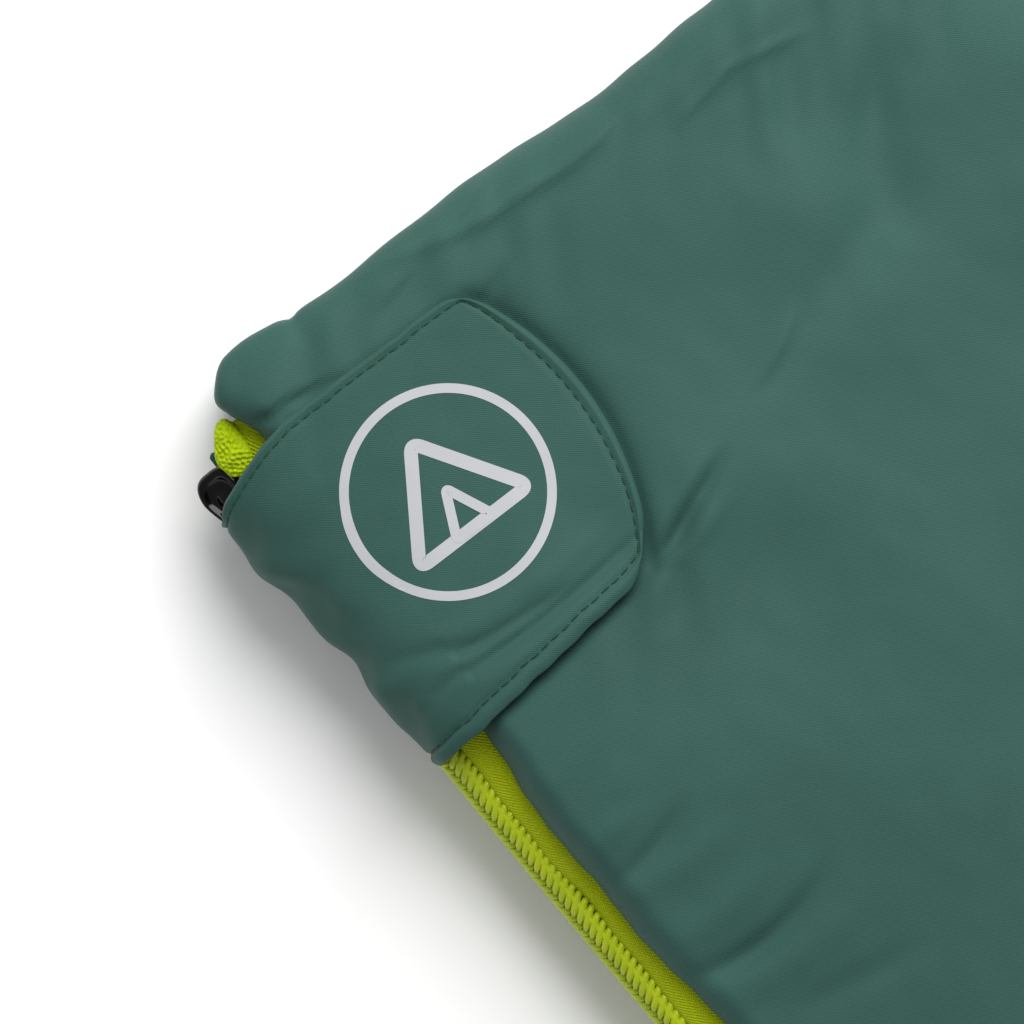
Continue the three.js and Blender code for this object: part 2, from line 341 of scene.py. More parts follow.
def plate(outline: Array, profile: Profile) -> MeshParts:
    """A closed plate with a shaped face: rings of one outline, scaled and raised.

    Args:
        outline: n by 2 points of the outline, counter-clockwise round its middle.
        profile: (scale, height) of each ring, from the middle of the upper side
            over the edge to the middle of the lower side.

    Returns:
        One closed body around the middle of the outline, height along +Z.
    """
    around = len(outline)
    rings = [np.column_stack([outline * scale, np.full(around, height)]) for scale, height in profile]
    points = np.concatenate(rings + [[[0, 0, profile[0][1]]], [[0, 0, profile[-1][1]]]])
    faces = capped_rings(len(rings), around)[:, [0, 3, 2, 1]]
    return MeshParts(points, faces, points[:, :2].copy(), np.zeros(len(faces)))


def moved(parts: MeshParts, place: Callable[[Array], Array]) -> MeshParts:
    """The same parts with every point carried by a function."""
    return MeshParts(place(parts.points), parts.faces, parts.cloth, parts.slots)


def facing_out(parts: MeshParts) -> MeshParts:
    """Turns the faces of a closed body outwards if its volume is negative."""
    p = parts.points - parts.points.mean(axis=0)
    a, b, c, d = (p[parts.faces[:, k]] for k in range(4))
    volume = np.einsum("ij,ij->i", np.cross(a, b), c).sum() + np.einsum("ij,ij->i", np.cross(a, c), d).sum()
    faces = parts.faces if volume > 0 else parts.faces[:, ::-1]
    return MeshParts(parts.points, faces, parts.cloth, parts.slots)


def box_grid(node: Box, columns: int, rows: int) -> tuple[Array, Array, Array]:
    """A level grid over a box: x and y of its points, and their distance from its edge."""
    low, high = node
    x, y = np.meshgrid(np.linspace(low.x, high.x, columns), np.linspace(low.y, high.y, rows), indexing="ij")
    return x, y, np.minimum(np.minimum(x - low.x, high.x - x), np.minimum(y - low.y, high.y - y))


def slab(x: Array, y: Array, top: Array, base: Array) -> MeshParts:
    """A closed sheet between two heights over a level grid."""
    upper, lower = (np.stack([x, y, z], axis=-1) for z in (top, base))
    return closed_sheet(upper, lower, np.stack([x, y], axis=-1))


def add_mesh(name: str, parts: MeshParts, materials: Sequence[Material]) -> Piece:
    """Makes a Blender object from mesh parts, smooth shaded and at the world's origin."""
    mesh = bpy.data.meshes.new(name)
    faces = [list(dict.fromkeys(face)) for face in parts.faces.tolist()]
    mesh.from_pydata(parts.points.tolist(), [], faces)
    layer = mesh.uv_layers.new(name=CLOTH_UV)
    corner = np.zeros(len(mesh.loops), np.int32)
    mesh.loops.foreach_get("vertex_index", corner)
    layer.data.foreach_set("uv", parts.cloth[corner].astype(np.float32).ravel())
    for material in materials:
        mesh.materials.append(material)
    mesh.polygons.foreach_set("material_index", parts.slots.astype(np.int32))
    mesh.polygons.foreach_set("use_smooth", np.ones(len(mesh.polygons), bool))
    mesh.update()
    piece = bpy.data.objects.new(name, mesh)
    bpy.context.scene.collection.objects.link(piece)
    LOG.info("%s: %d faces", name, len(mesh.polygons))
    return piece


# ---- materials


def linear(code: str) -> tuple[float, float, float, float]:
    """A colour written as RRGGBB, as the linear numbers that shaders take."""
    values = [int(code[i : i + 2], 16) / 255 for i in (0, 2, 4)]
    curve = [v / 12.92 if v <= 0.04045 else ((v + 0.055) / 1.055) ** 2.4 for v in values]
    return (*curve, 1.0)


class Nodes:
    """Short way to add and link the nodes of one tree."""

    def __init__(self, tree: bpy.types.NodeTree) -> None:
        """Keeps the tree that new nodes go into."""
        self.tree = tree

    def add(self, kind: str, inputs: dict | None = None, **settings: object) -> bpy.types.Node:
        """Adds a node.

        Args:
            kind: the node's type.
            inputs: values or sockets for its inputs, by name or number.
            settings: its own properties.

        Returns:
            The new node.
        """
        node = self.tree.nodes.new(kind)
        for key, value in settings.items():
            setattr(node, key, value)
        for key, value in (inputs or {}).items():
            if isinstance(value, Socket):
                self.tree.links.new(value, node.inputs[key])
            else:
                node.inputs[key].default_value = value
        return node

    def math(self, operation: str, first: object, second: object = 0.0) -> Socket:
        """The result of one math node."""
        return self.add("ShaderNodeMath", {0: first, 1: second}, operation=operation).outputs[0]

    def mix(self, share: object, first: object, second: object) -> Socket:
        """The result of mixing two colours."""
        node = self.add("ShaderNodeMix", {0: share, 6: first, 7: second}, data_type="RGBA")
        return node.outputs[2]


Group = tuple[Nodes, dict, bpy.types.Node]


def new_group(name: str, inputs: dict[str, float], output: str) -> Group:
    """Starts a shader node group with a vector input and number inputs.

    Args:
        name: the group's name.
        inputs: number inputs and their default values.
        output: its number output.

    Returns:
        The group's nodes, its input sockets by name, and its output node.
    """
    tree = bpy.data.node_groups.new(name, "ShaderNodeTree")
    tree.interface.new_socket("Cloth", in_out="INPUT", socket_type="NodeSocketVector")
    for key, value in inputs.items():
        tree.interface.new_socket(key, in_out="INPUT", socket_type="NodeSocketFloat").default_value = value
    tree.interface.new_socket(output, in_out="OUTPUT", socket_type="NodeSocketFloat")
    nodes = Nodes(tree)
    entry = nodes.add("NodeGroupInput")
    return nodes, {s.name: s for s in entry.outputs if s.name}, nodes.add("NodeGroupOutput")


class Patterns:
    """The cloth patterns that several materials share, as node groups."""

    def __init__(self) -> None:
        """Builds the groups."""
        self.weave = self._weave()
        self.twill = self._twill()
        self.tone = self._tone()

    @staticmethod
    def _threads(name: str, pitch: float) -> tuple[Nodes, list[Socket], Socket]:
        """Starts a weave: its nodes, the phase of the threads both ways and the height to fill in."""
        nodes, given, out = new_group(name, {"Pitch": pitch}, "Height")
        split = nodes.add("ShaderNodeSeparateXYZ", {0: given["Cloth"]})
        turns = nodes.math("DIVIDE", math.tau, given["Pitch"])
        phases = [nodes.math("MULTIPLY", split.outputs[k], turns) for k in (0, 1)]
        return nodes, phases, out.inputs["Height"]

    def _weave(self) -> bpy.types.NodeTree:
        """Plain weave: threads that pass over and under each other in turn."""
        nodes, phases, height = self._threads("plain_weave", 0.4 * MM)
        warp, weft = (nodes.math("SINE", phase) for phase in phases)
        nodes.tree.links.new(nodes.math("MULTIPLY_ADD", nodes.math("MULTIPLY", warp, weft), 0.5), height)
        return nodes.tree

    def _twill(self) -> bpy.types.NodeTree:
        """Diagonal ribs broken by a fine cross thread, as on zip tape."""
        nodes, (across, along), height = self._threads("tape_twill", 0.62 * MM)
        ribs = nodes.math("SINE", nodes.math("ADD", across, along))
        cross = nodes.math("SINE", nodes.math("SUBTRACT", across, nodes.math("MULTIPLY", along, 1.6)))
        both = nodes.math("ADD", ribs, nodes.math("MULTIPLY", cross, 0.55))
        nodes.tree.links.new(nodes.math("MULTIPLY", both, 0.5), height)
        return nodes.tree

    @staticmethod
    def _tone() -> bpy.types.NodeTree:
        """Slow change of tone over the cloth, with fine thread-to-thread grain."""
        nodes, given, out = new_group("cloth_tone", {"Grain": 0.5}, "Tone")
        slow = nodes.add("ShaderNodeTexNoise", {"Vector": given["Cloth"], "Scale": 16.0, "Detail": 3.0})
        fine = nodes.add("ShaderNodeTexNoise", {"Vector": given["Cloth"], "Scale": 1500.0, "Detail": 1.0})
        grain = nodes.math("MULTIPLY", nodes.math("SUBTRACT", fine.outputs[0], 0.5), given["Grain"])
        nodes.tree.links.new(nodes.math("ADD", slow.outputs[0], grain), out.inputs["Tone"])
        return nodes.tree


@dataclass(frozen=True)
class Finish:
    """What a material is called, its slot in the library and its two tones."""

    name: str
    slot: str
    light: str
    dark: str

    def start(self) -> tuple[Nodes, Material]:
        """An empty material of this name, with its nodes."""
        material = bpy.data.materials.new(self.name)
        material.use_nodes = True
        return Nodes(material.node_tree), material

    def surface(self, nodes: Nodes, shade: object, bump: dict, values: dict[str, float]) -> None:
        """Joins tone and relief to the shader and sets its numbers.

        Args:
            nodes: the material's nodes.
            shade: place between the dark tone (0) and the light tone (1).
            bump: inputs of the bump node.
            values: numbers for the shader's inputs.
        """
        shader = nodes.tree.nodes["Principled BSDF"]
        colour = nodes.mix(shade, linear(self.dark), linear(self.light))
        relief = nodes.add("ShaderNodeBump", bump)
        nodes.tree.links.new(colour, shader.inputs["Base Color"])
        nodes.tree.links.new(relief.outputs[0], shader.inputs["Normal"])
        for key, value in values.items():
            shader.inputs[key].default_value = value


@dataclass(frozen=True)
class Cloth(Finish):
    """A woven finish with its own thread pitch and sheen, and painted shade in the hollows of its weave."""

    pitch: float
    depth: float
    roughness: float = 0.6
    sheen: float = 0.0
    grain: float = 0.5
    twill: bool = False
    # Share of painted shade: colour drawn darker in the weave's hollows and lighter on its thread crowns.
    painted_weave_shade: float = 0.0

    def build(self, patterns: Patterns) -> Material:
        """Makes the material: tone from the cloth group with painted weave shade, relief from the weave."""
        nodes, material = self.start()
        cloth = nodes.add("ShaderNodeUVMap", uv_map=CLOTH_UV).outputs[0]
        chosen = patterns.twill if self.twill else patterns.weave
        weave = nodes.add("ShaderNodeGroup", node_tree=chosen)
        tone = nodes.add("ShaderNodeGroup", node_tree=patterns.tone)
        for node, key, value in ((weave, "Pitch", self.pitch), (tone, "Grain", self.grain)):
            node.inputs[key].default_value = value
            nodes.tree.links.new(cloth, node.inputs["Cloth"])
        # Painted shade: the weave's height darkens the tone in its hollows and lightens it on its crowns.
        shade = nodes.math("ADD", tone.outputs[0], nodes.math("MULTIPLY", weave.outputs[0], self.painted_weave_shade))
        shade = nodes.add("ShaderNodeClamp", {0: shade}).outputs[0]
        bump = {"Height": weave.outputs[0], "Distance": self.depth, "Strength": 1.0}
        values = {
            "Roughness": self.roughness,
            "Sheen Weight": self.sheen,
            "Sheen Roughness": SHEEN_ROUGHNESS,
            "Specular IOR Level": CLOTH_SPECULAR,
        }
        self.surface(nodes, shade, bump, values)
        return material


@dataclass(frozen=True)
class Moulded(Finish):
    """A plastic, enamelled or metal finish with faint mottling and fine relief."""

    roughness: float
    scale: float = 500.0
    depth: float = 0.01 * MM
    metallic: float = 0.0
    specular: float = 0.5

    def build(self, _: Patterns) -> Material:
        """Makes the material from Object coordinates."""
        nodes, material = self.start()
        place = nodes.add("ShaderNodeTexCoord").outputs["Object"]
        noise = nodes.add("ShaderNodeTexNoise", {"Vector": place, "Scale": self.scale, "Detail": 4.0})
        bump = {"Height": noise.outputs[0], "Distance": self.depth}
        values = {
            "Roughness": self.roughness,
            "Metallic": self.metallic,
            "Specular IOR Level": self.specular,
        }
        self.surface(nodes, noise.outputs[0], bump, values)
        return material


# The last number of a woven finish is its share of painted weave shade.
SHELL = Cloth(
    "taffeta_shell", "shell", "3d625a", "32524b", 0.62 * MM, 0.03 * MM, 0.48, 0.02, 0.5, True, 0.08
)
LINING = Cloth("brushed_lining", "lining", "66776f", "55655f", 0.5 * MM, 0.05 * MM, 0.8, 0.2, 0.9)
TAPE = Cloth("zip_tape_lime", "zip_tape", "c8d61a", "a2ba00", 0.9 * MM, 0.25 * MM, 0.7, 0.05, 0.5, True, 0.5)
KNIT = Cloth(
    "zip_tape_knit", "zip_tape", "bdd41a", "9cb800", 1.3 * MM, 0.12 * MM, 0.65, 0.05, 0.6, False, 0.14
)
COIL = Moulded("zip_coil_lime", "zip_coil", "c6d400", "9fb800", 0.4, 260.0, 0.03 * MM)
ENAMEL = Moulded("slider_enamel", "slider", "0a0a0a", "050505", 0.13, 300.0, 0.004 * MM, 0.0, 0.2)
STOP = Moulded("stop_metal", "zip_stop", "a3a6a8", "85888a", 0.35, 700.0, 0.02 * MM, 1.0)
THREAD = Cloth("flap_thread", "thread", "266141", "153f28", 0.3 * MM, 0.06 * MM, 0.55, 0.2, 0.6, True, 0.4)
PRINT = Cloth("flap_ink", "print", "bcbec2", "b4b6ba", 0.42 * MM, 0.012 * MM, 0.45, 0.0, 0.3)
HOOKS = Cloth("hook_and_loop", "fastener", "33413d", "1f2926", 0.9 * MM, 0.4 * MM, 0.9, 0.3, 1.0)
LABEL = Cloth("care_label_satin", "label", "efefec", "e2e2de", 0.3 * MM, 0.02 * MM, 0.5, 0.1, 0.3)
FINISHES = (SHELL, LINING, TAPE, KNIT, COIL, ENAMEL, STOP, THREAD, PRINT, HOOKS, LABEL)


class Palette:
    """The built materials, and the pieces that are made of them."""

    def __init__(self) -> None:
        """Builds every finish once."""
        patterns = Patterns()
        self._built = {finish.name: finish.build(patterns) for finish in FINISHES}

    def piece(
        self,
        name: str,
        parts: MeshParts | Sequence[MeshParts],
        finishes: Sequence[Finish],
        body: str = "",
        stands_for: Sequence[str] = (),
    ) -> Piece:
        """Makes a piece, sets it on its body and hides the CAD nodes that it stands for.

        Args:
            name: name of the piece.
            parts: its vertices and faces, or several sets of them.
            finishes: its finishes, numbered as in parts.slots.
            body: the body that it rides on, or nothing to leave it without one.
            stands_for: the CAD nodes that it takes the place of.

        Returns:
            The new piece.
        """
        if not isinstance(parts, MeshParts):
            parts = MeshParts.joined(parts)
        made = add_mesh(name, parts, [self._built[finish.name] for finish in finishes])
        if body:
            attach(made, body)
        if stands_for:
            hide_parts(*stands_for)
        return made


# ---- the quilt's shape


@dataclass(frozen=True)
class Crease:
    """A soft ridge or valley in the cloth, in millimetres.

    Its ends are (from the zip rim, from the head hem); it bows sideways
    between them and dies away at both.
    """

    start: Pair
    end: Pair
    width: float
    height: float
    bow: float = 0.0

    def relief(self, across: Array, along: Array) -> Array:
        """The crease's height at each point, a bell curve across its line."""
        first = np.array(self.start)
        chord = np.array(self.end) - first
        length = float(np.hypot(*chord))
        unit = chord / length
        dx = across - first[0]
        dy = along - first[1]
        t = (dx * unit[0] + dy * unit[1]) / length
        off = dy * unit[0] - dx * unit[1] - self.bow * 4.0 * t * (1.0 - t)
        fade = np.clip(1.0 - ((t - 0.5) / 0.75) ** 2, 0.0, None) ** 1.5
        return self.height * np.exp(-((off / self.width) ** 2)) * fade


@dataclass(frozen=True)
class Swell:
    """A round rise or dent in the padding, in millimetres."""

    at: Pair
    radius: float
    height: float

    def relief(self, across: Array, along: Array) -> Array:
        """The swell's height at each point, a bell curve round its middle."""
        square = (across - self.at[0]) ** 2 + (along - self.at[1]) ** 2
        return self.height * np.exp(-square / self.radius**2)


Marks = tuple[Crease | Swell, ...]


def relief_marks(creases: Sequence[Sequence[float]], swells: Sequence[Sequence[float]]) -> Marks:
    """Makes creases and swells from rows of their numbers.

    Args:
        creases: rows of start, end, width, height and, where it bows, the bow.
        swells: rows of place, radius and height.

    Returns:
        The creases, then the swells.
    """
    lines = [Crease(row[:2], row[2:4], *row[4:]) for row in creases]
    return (*lines, *[Swell(row[:2], *row[2:]) for row in swells])


HEAD_CORNER_RELIEF = relief_marks(
    (
        (42, 2.0, 66, 5.5, 1.2, 1.3, 0.8), (64, 6.0, 74, 2.0, 1.1, 1.3),
        (54, 5.5, 85, 9.5, 1.2, 1.8, 1.0), (81, 9.5, 107, 8.0, 1.1, 1.7, 1.6),
        (57, 10, 84, 14, 3.0, -0.45, 1.0), (82, 13, 104, 12.5, 3.0, -0.4, 1.6),
        (71, 5, 80, 0.0, 1.1, 1.2), (117, 17.5, 134, 14.5, 0.9, 1.0), (131, 15, 149, 18.5, 0.9, 1.1),
        (120, 19.5, 146, 21, 2.4, -0.3), (160, 34, 140, 62, 7.0, -2.2, 3.0),
        (143, 59, 112, 69, 6.0, -1.4), (95, 73, 110, 66, 1.3, 0.8, 0.6),
        (97, 76, 113, 69, 2.4, -0.3, 0.6), (52, 91, 66, 87, 1.9, -2.0, 0.5),
        (62, 88, 78, 82, 1.6, -1.7), (58, 85, 76, 79, 2.2, 0.7), (56, 95, 47, 104, 3.0, -1.0),
        (60, 93, 74, 89, 2.4, 0.7), (3, 141.5, 24, 137, 2.4, -1.9, 1.2), (5, 147, 30, 146, 3.4, 1.0),
        (3, 131, 18, 131, 3.0, 1.0), (2, 167, 38, 168, 2.7, -2.7, 3.4),
        (8, 175, 40, 177, 4.2, 1.0, 2.0), (4, 158, 30, 158, 4.2, 1.3, 2.0),
        (18, 187, 46, 192, 3.2, -1.0), (-3, 11.2, 9, 16.6, 1.3, -2.4), (5, 13.8, 22, 16.8, 1.0, -2.2),
        (26, 11, 50, 12, 3.4, -0.7), (40, 12, 54, 8.5, 1.4, -1.1), (58, 23, 68, 20, 1.5, -1.0),
        (63, 24, 69, 19, 2.0, 0.8),
    ),
    (
        (126, 46, 14.0, 2.9), (102, 146, 17.0, 2.4), (187, 48, 15.0, 2.0), (138, 149, 15.0, 2.0),
        (24, 1, 1.5, -0.9), (76, 104, 13.0, -1.8),
    ),
)

RIM_DRIFT: Profile = (
    (0, -1.2), (4, -2.2), (8, -0.9), (16, 1.6), (24, 0.6), (95, 0.8), (104, 0.3), (112, -1.0),
    (140, -1.4), (154, -1.9), (166, -0.9), (180, -0.2), (240, 0.0),
)
HEM_DRIFT: Profile = (
    (0, 0.0), (4, -1.6), (10, -2.5), (17, -2.0), (21, -1.2), (22.6, -0.3), (25, -0.6), (31, -0.3),
    (52, -0.6), (80, 0.0), (93, 0.9), (104, 1.9), (117, 1.6), (134, 0.8), (170, 0.0),
)


@dataclass(frozen=True)
class Shape:
    """Where the padded halves lie, and how the soft surface rises and falls."""

    rim_x: float
    fold_x: float
    head_y: float
    foot_y: float
    height: float
    head_corner: float = 7 * MM
    foot_corner: float = 60 * MM
    seam: float = 12 * MM
    rim_roll: float = 6.5 * MM
    hem_roll: float = 12 * MM
    crown: float = 80 * MM
    crown_share: float = 0.2

    @staticmethod
    def from_frame() -> Shape:
        """Reads the halves' places from the CAD nodes."""
        low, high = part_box("shell_top")
        return Shape(low.x, high.x, high.y, low.y, high.z)

    @property
    def middle(self) -> float:
        """Height of the plane between the halves."""
        return self.height / 2

    @property
    def length(self) -> float:
        """Distance between the head hem and the foot hem."""
        return self.head_y - self.foot_y

    def lengthwise(self, spans: Profile) -> Array:
        """Distances of grid lines from the head hem, close together over both rolled hems."""
        hem = rim_stations(self.hem_roll, 14)
        foot = rim_stations(self.rim_roll, 10)
        spans = [(end - hem[-1], spacing) for end, spacing in spans]
        middle = graded([*spans[:-1], (spans[-1][0] - foot[-1], spans[-1][1])])
        return np.concatenate([hem, hem[-1] + middle[1:], (self.length - foot[::-1])[1:]])

    def sway(self, along: Array) -> Array:
        """How far the zipped side curves inwards, a single slow bow near the head."""
        t = np.clip((along - 70 * MM) / (380 * MM), 0.0, 1.0)
        return 6 * MM * np.sin(math.pi * t) ** 2

    def across(self, x: Array) -> Array:
        """Distance from the zip rim in millimetres."""
        return (x - self.rim_x) / MM

    def along(self, y: Array) -> Array:
        """Distance from the head hem in millimetres."""
        return (self.head_y - y) / MM

    def plan(self, from_rim: Array, from_head: Array) -> Plane:
        """Places in plan of points given by their distances from rim and hem.

        The two corners on the zipped side are rounded, the hem and the rim
        waver a little, and the zipped side bows with the sway.

        Args:
            from_rim: distance from the zip rim.
            from_head: distance from the head hem.

        Returns:
            x and y of each point.
        """
        a, b = round_corner(from_rim, from_head, self.head_corner)
        a, c = round_corner(a, self.length - b, self.foot_corner)
        b = self.length - c
        along, across = b / MM, a / MM
        near_rim = np.exp(-a / (16 * MM))
        near_hem = np.exp(-b / (18 * MM))
        near_foot = np.exp(-c / (18 * MM))
        wild = smoothstep(along, 175, 230)
        rim_wave = (0.16 + 0.45 * wild) * ripple(along, 9, 46, 31)
        b = b + MM * near_hem * (smooth_line(across, HEM_DRIFT) + self._hem_wave(across))
        a = a + MM * near_rim * (smooth_line(along, RIM_DRIFT) + rim_wave)
        b = b - MM * near_foot * 0.8 * ripple(across, 16, 60, 41)
        fold_fade = 1.0 - smoothstep(a, 60 * MM, 260 * MM)
        return self.rim_x + a + self.sway(b) * fold_fade, self.head_y - b

    @staticmethod
    def _hem_wave(across: Array) -> Array:
        """Small ripples of the head hem in millimetres, larger away from the zipped corner."""
        wild = 0.14 + 0.6 * smoothstep(across, 140, 200)
        return wild * ripple(across, 8, 50, 37)

    def rise(self, from_rim: Array, from_head: Array) -> Array:
        """How full the padding is, from 0 at the seam to 1 inside."""
        from_foot = self.length - from_head
        edge = roll(from_rim, self.rim_roll)
        hem = roll(from_head, self.hem_roll)
        foot = roll(from_foot, self.rim_roll)
        near = np.minimum(from_rim, np.minimum(from_head, from_foot))
        crown = smoothstep(near, -10 * MM, self.crown)
        return edge * hem * foot * (1.0 - self.crown_share * (1.0 - crown))

    def relief(self, x: Array, y: Array) -> Array:
        """Soft rise and fall of the upper shell, in metres.

        Slow swells from the loose filling, longer drag lines across the
        cloth, puckers that run in from the rim and the hem, and the creases
        beside the flap.

        Args:
            x: place across the quilt.
            y: place along the quilt.

        Returns:
            Height above the evenly padded surface.
        """
        across, along = self.across(x), self.along(y)
        slow = 1.3 * waves(across, along, 110, 320, 3) + 0.75 * waves(across, along, 42, 90, 5)
        turn = math.radians(35)
        u = across * math.cos(turn) + along * math.sin(turn)
        v = along * math.cos(turn) - across * math.sin(turn)
        patch = smoothstep(waves(across, along, 90, 260, 11), 0.1, 1.4)
        drag = 0.5 * patch * waves(u, v, 8, 20, 13, 4.0)
        calm = 0.25 + 0.75 * smoothstep(np.hypot(across, along), 190, 240)
        rim = np.exp(-np.abs(across) / 16) * 0.9 * calm * waves(along, 0.25 * across, 8, 26, 17)
        hem = np.exp(-np.abs(along) / 14) * 0.9 * calm * waves(across, 0.4 * along, 8, 26, 19)
        foot = np.exp(-np.abs((y - self.foot_y) / MM) / 12) * 0.6 * waves(across, 0.3 * along, 8, 26, 23)
        close = 1.0 - smoothstep(np.maximum(across, along - 30), 160, 200)
        fine = close * 0.05 * waves(across, along, 9, 30, 29)
        total = slow + drag + rim + hem + foot + fine
        for mark in HEAD_CORNER_RELIEF:
            total = total + mark.relief(across, along)
        to_fold = smoothstep(self.fold_x - x, 0.0, 40 * MM)
        return MM * total * to_fold


@dataclass
class PaddedHalf:
    """Shell, filling and lining of one half, as one stuffed piece."""

    shape: Shape
    side: Side
    flap: FlapSurface | None = None
    lining_reach: float = 0.6 * MM
    inner_roll: float = 12 * MM
    fine: float = 1.15 * MM
    coarse: float = 8 * MM
    fine_across: float = 205 * MM
    fine_along: float = 240 * MM

    def _stations(self) -> Plane:
        """Distances of the grid lines from the rim and from the head hem."""
        shape = self.shape
        fine = self.fine if self.side is Side.TOP else 4 * MM
        width = shape.fold_x - shape.rim_x
        edge = rim_stations(shape.rim_roll, 14)
        inner = graded([(self.fine_across - edge[-1], fine), (width - edge[-1], self.coarse)])
        across = np.concatenate([edge, edge[-1] + inner[1:]])
        return across, shape.lengthwise([(self.fine_along, fine), (shape.length, 9 * MM)])

    def build(self, palette: Palette) -> Piece:
        """Makes the padded piece.

        Args:
            palette: the built materials.

        Returns:
            A closed piece that rides on its half.
        """
        shape = self.shape
        across, along = self._stations()
        from_rim, from_head = np.meshgrid(across, along[::-1], indexing="ij")
        x, y = shape.plan(from_rim, from_head)
        rise = shape.rise(from_rim, from_head)
        full = shape.middle - shape.seam * 0.75
        if self.side is Side.TOP:
            relief = shape.relief(x, y) * np.clip(rise * 1.4 - 0.4, 0.0, 1.0)
            if self.flap is not None:
                relief = relief - self.flap.press(x, y)
            outer = shape.height - shape.seam * (1.0 - rise) + relief
        else:
            outer = shape.seam * (1.0 - rise) + 0.1 * MM
        near = roll(from_rim, self.inner_roll) * roll(from_head, self.inner_roll)
        near = near * roll(shape.length - from_head, self.inner_roll)
        seam = shape.seam if self.side is Side.BOTTOM else shape.height - shape.seam
        sign = -1.0 if self.side is Side.TOP else 1.0
        inner = seam + sign * (self.lining_reach + (full - self.lining_reach - 3.0 * MM) * near)
        shell = np.stack([x, y, outer], axis=-1)
        lining = np.stack([x, y, inner], axis=-1)
        cloth = np.stack([x, y], axis=-1)
        if self.side is Side.TOP:
            parts, finishes = closed_sheet(shell, lining, cloth, lower_slot=1), (SHELL, LINING)
        else:
            parts, finishes = closed_sheet(lining, shell, cloth, lower_slot=1), (LINING, SHELL)
        name = self.side.name.lower()
        nodes = [f"{layer}_{name}" for layer in ("shell", "batt", "lining")]
        piece = palette.piece(f"padded_half_{name}", parts, finishes, f"{name}_half", nodes)
        return piece


@dataclass
class Fold:
    """The padded turn of the quilt along the fold."""

    shape: Shape
    thickness: float = 6 * MM
    steps: int = 28

    def build(self, palette: Palette) -> Piece:
        """Makes the turn: an arc round the fold line whose radius follows the fullness of the halves."""
        shape = self.shape
        along = shape.lengthwise([(shape.length, 8 * MM)])
        turn = np.linspace(-math.pi / 2, math.pi / 2, self.steps + 1)
        angle, from_head = np.meshgrid(turn, along, indexing="ij")
        rise = shape.rise(np.full_like(from_head, 1.0), from_head)
        _, y = shape.plan(np.full_like(from_head, shape.fold_x - shape.rim_x), from_head)
        radius = shape.middle - shape.seam * (1.0 - rise)
        around, down = angle * 21, shape.along(y)
        shift = waves(around, down, 26, 90, 53) + 0.5 * waves(around, down, 10, 24, 59)
        radius = radius + 0.9 * MM * shift * np.cos(angle) * rise
        hollow = np.maximum(radius - self.thickness, 1.5 * MM)
        places = []
        for reach in (radius, hollow):
            x = shape.fold_x + reach * np.cos(angle)
            z = shape.middle + reach * np.sin(angle)
            places.append(np.stack([x, y, z], axis=-1))
        cloth = np.stack([shape.fold_x + angle * shape.middle, y], axis=-1)
        parts = closed_sheet(places[0], places[1], cloth)
        piece = palette.piece("padded_fold", parts, [SHELL], stands_for=["shell_fold", "batt_fold"])
        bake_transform(piece)
        return piece


# ---- closing flap


FLAP_RELIEF = relief_marks(
    (
        (2, 84.5, 52, 84.0, 1.2, -1.3, 1.4), (5, 80, 34, 83.2, 1.1, -1.0, 0.6),
        (8, 76.5, 50, 78, 2.4, 0.5, 1.4), (4, 88.5, 50, 88, 2.2, 0.6, 1.4), (-6, 73, 12, 81, 2.0, -0.9),
    ),
    (
        (46, 56, 20.0, 0.8), (6, 36, 9.0, 0.6), (3, 62, 8.0, -0.7),
    ),
)
FLAP_PUFFS: Profile = (
    (0.0, 17.2), (0.22, 17.0), (0.33, 14.9), (0.47, 14.3), (0.6, 12.7), (0.76, 13.9), (0.88, 13.0),
    (1.0, 11.7),
)


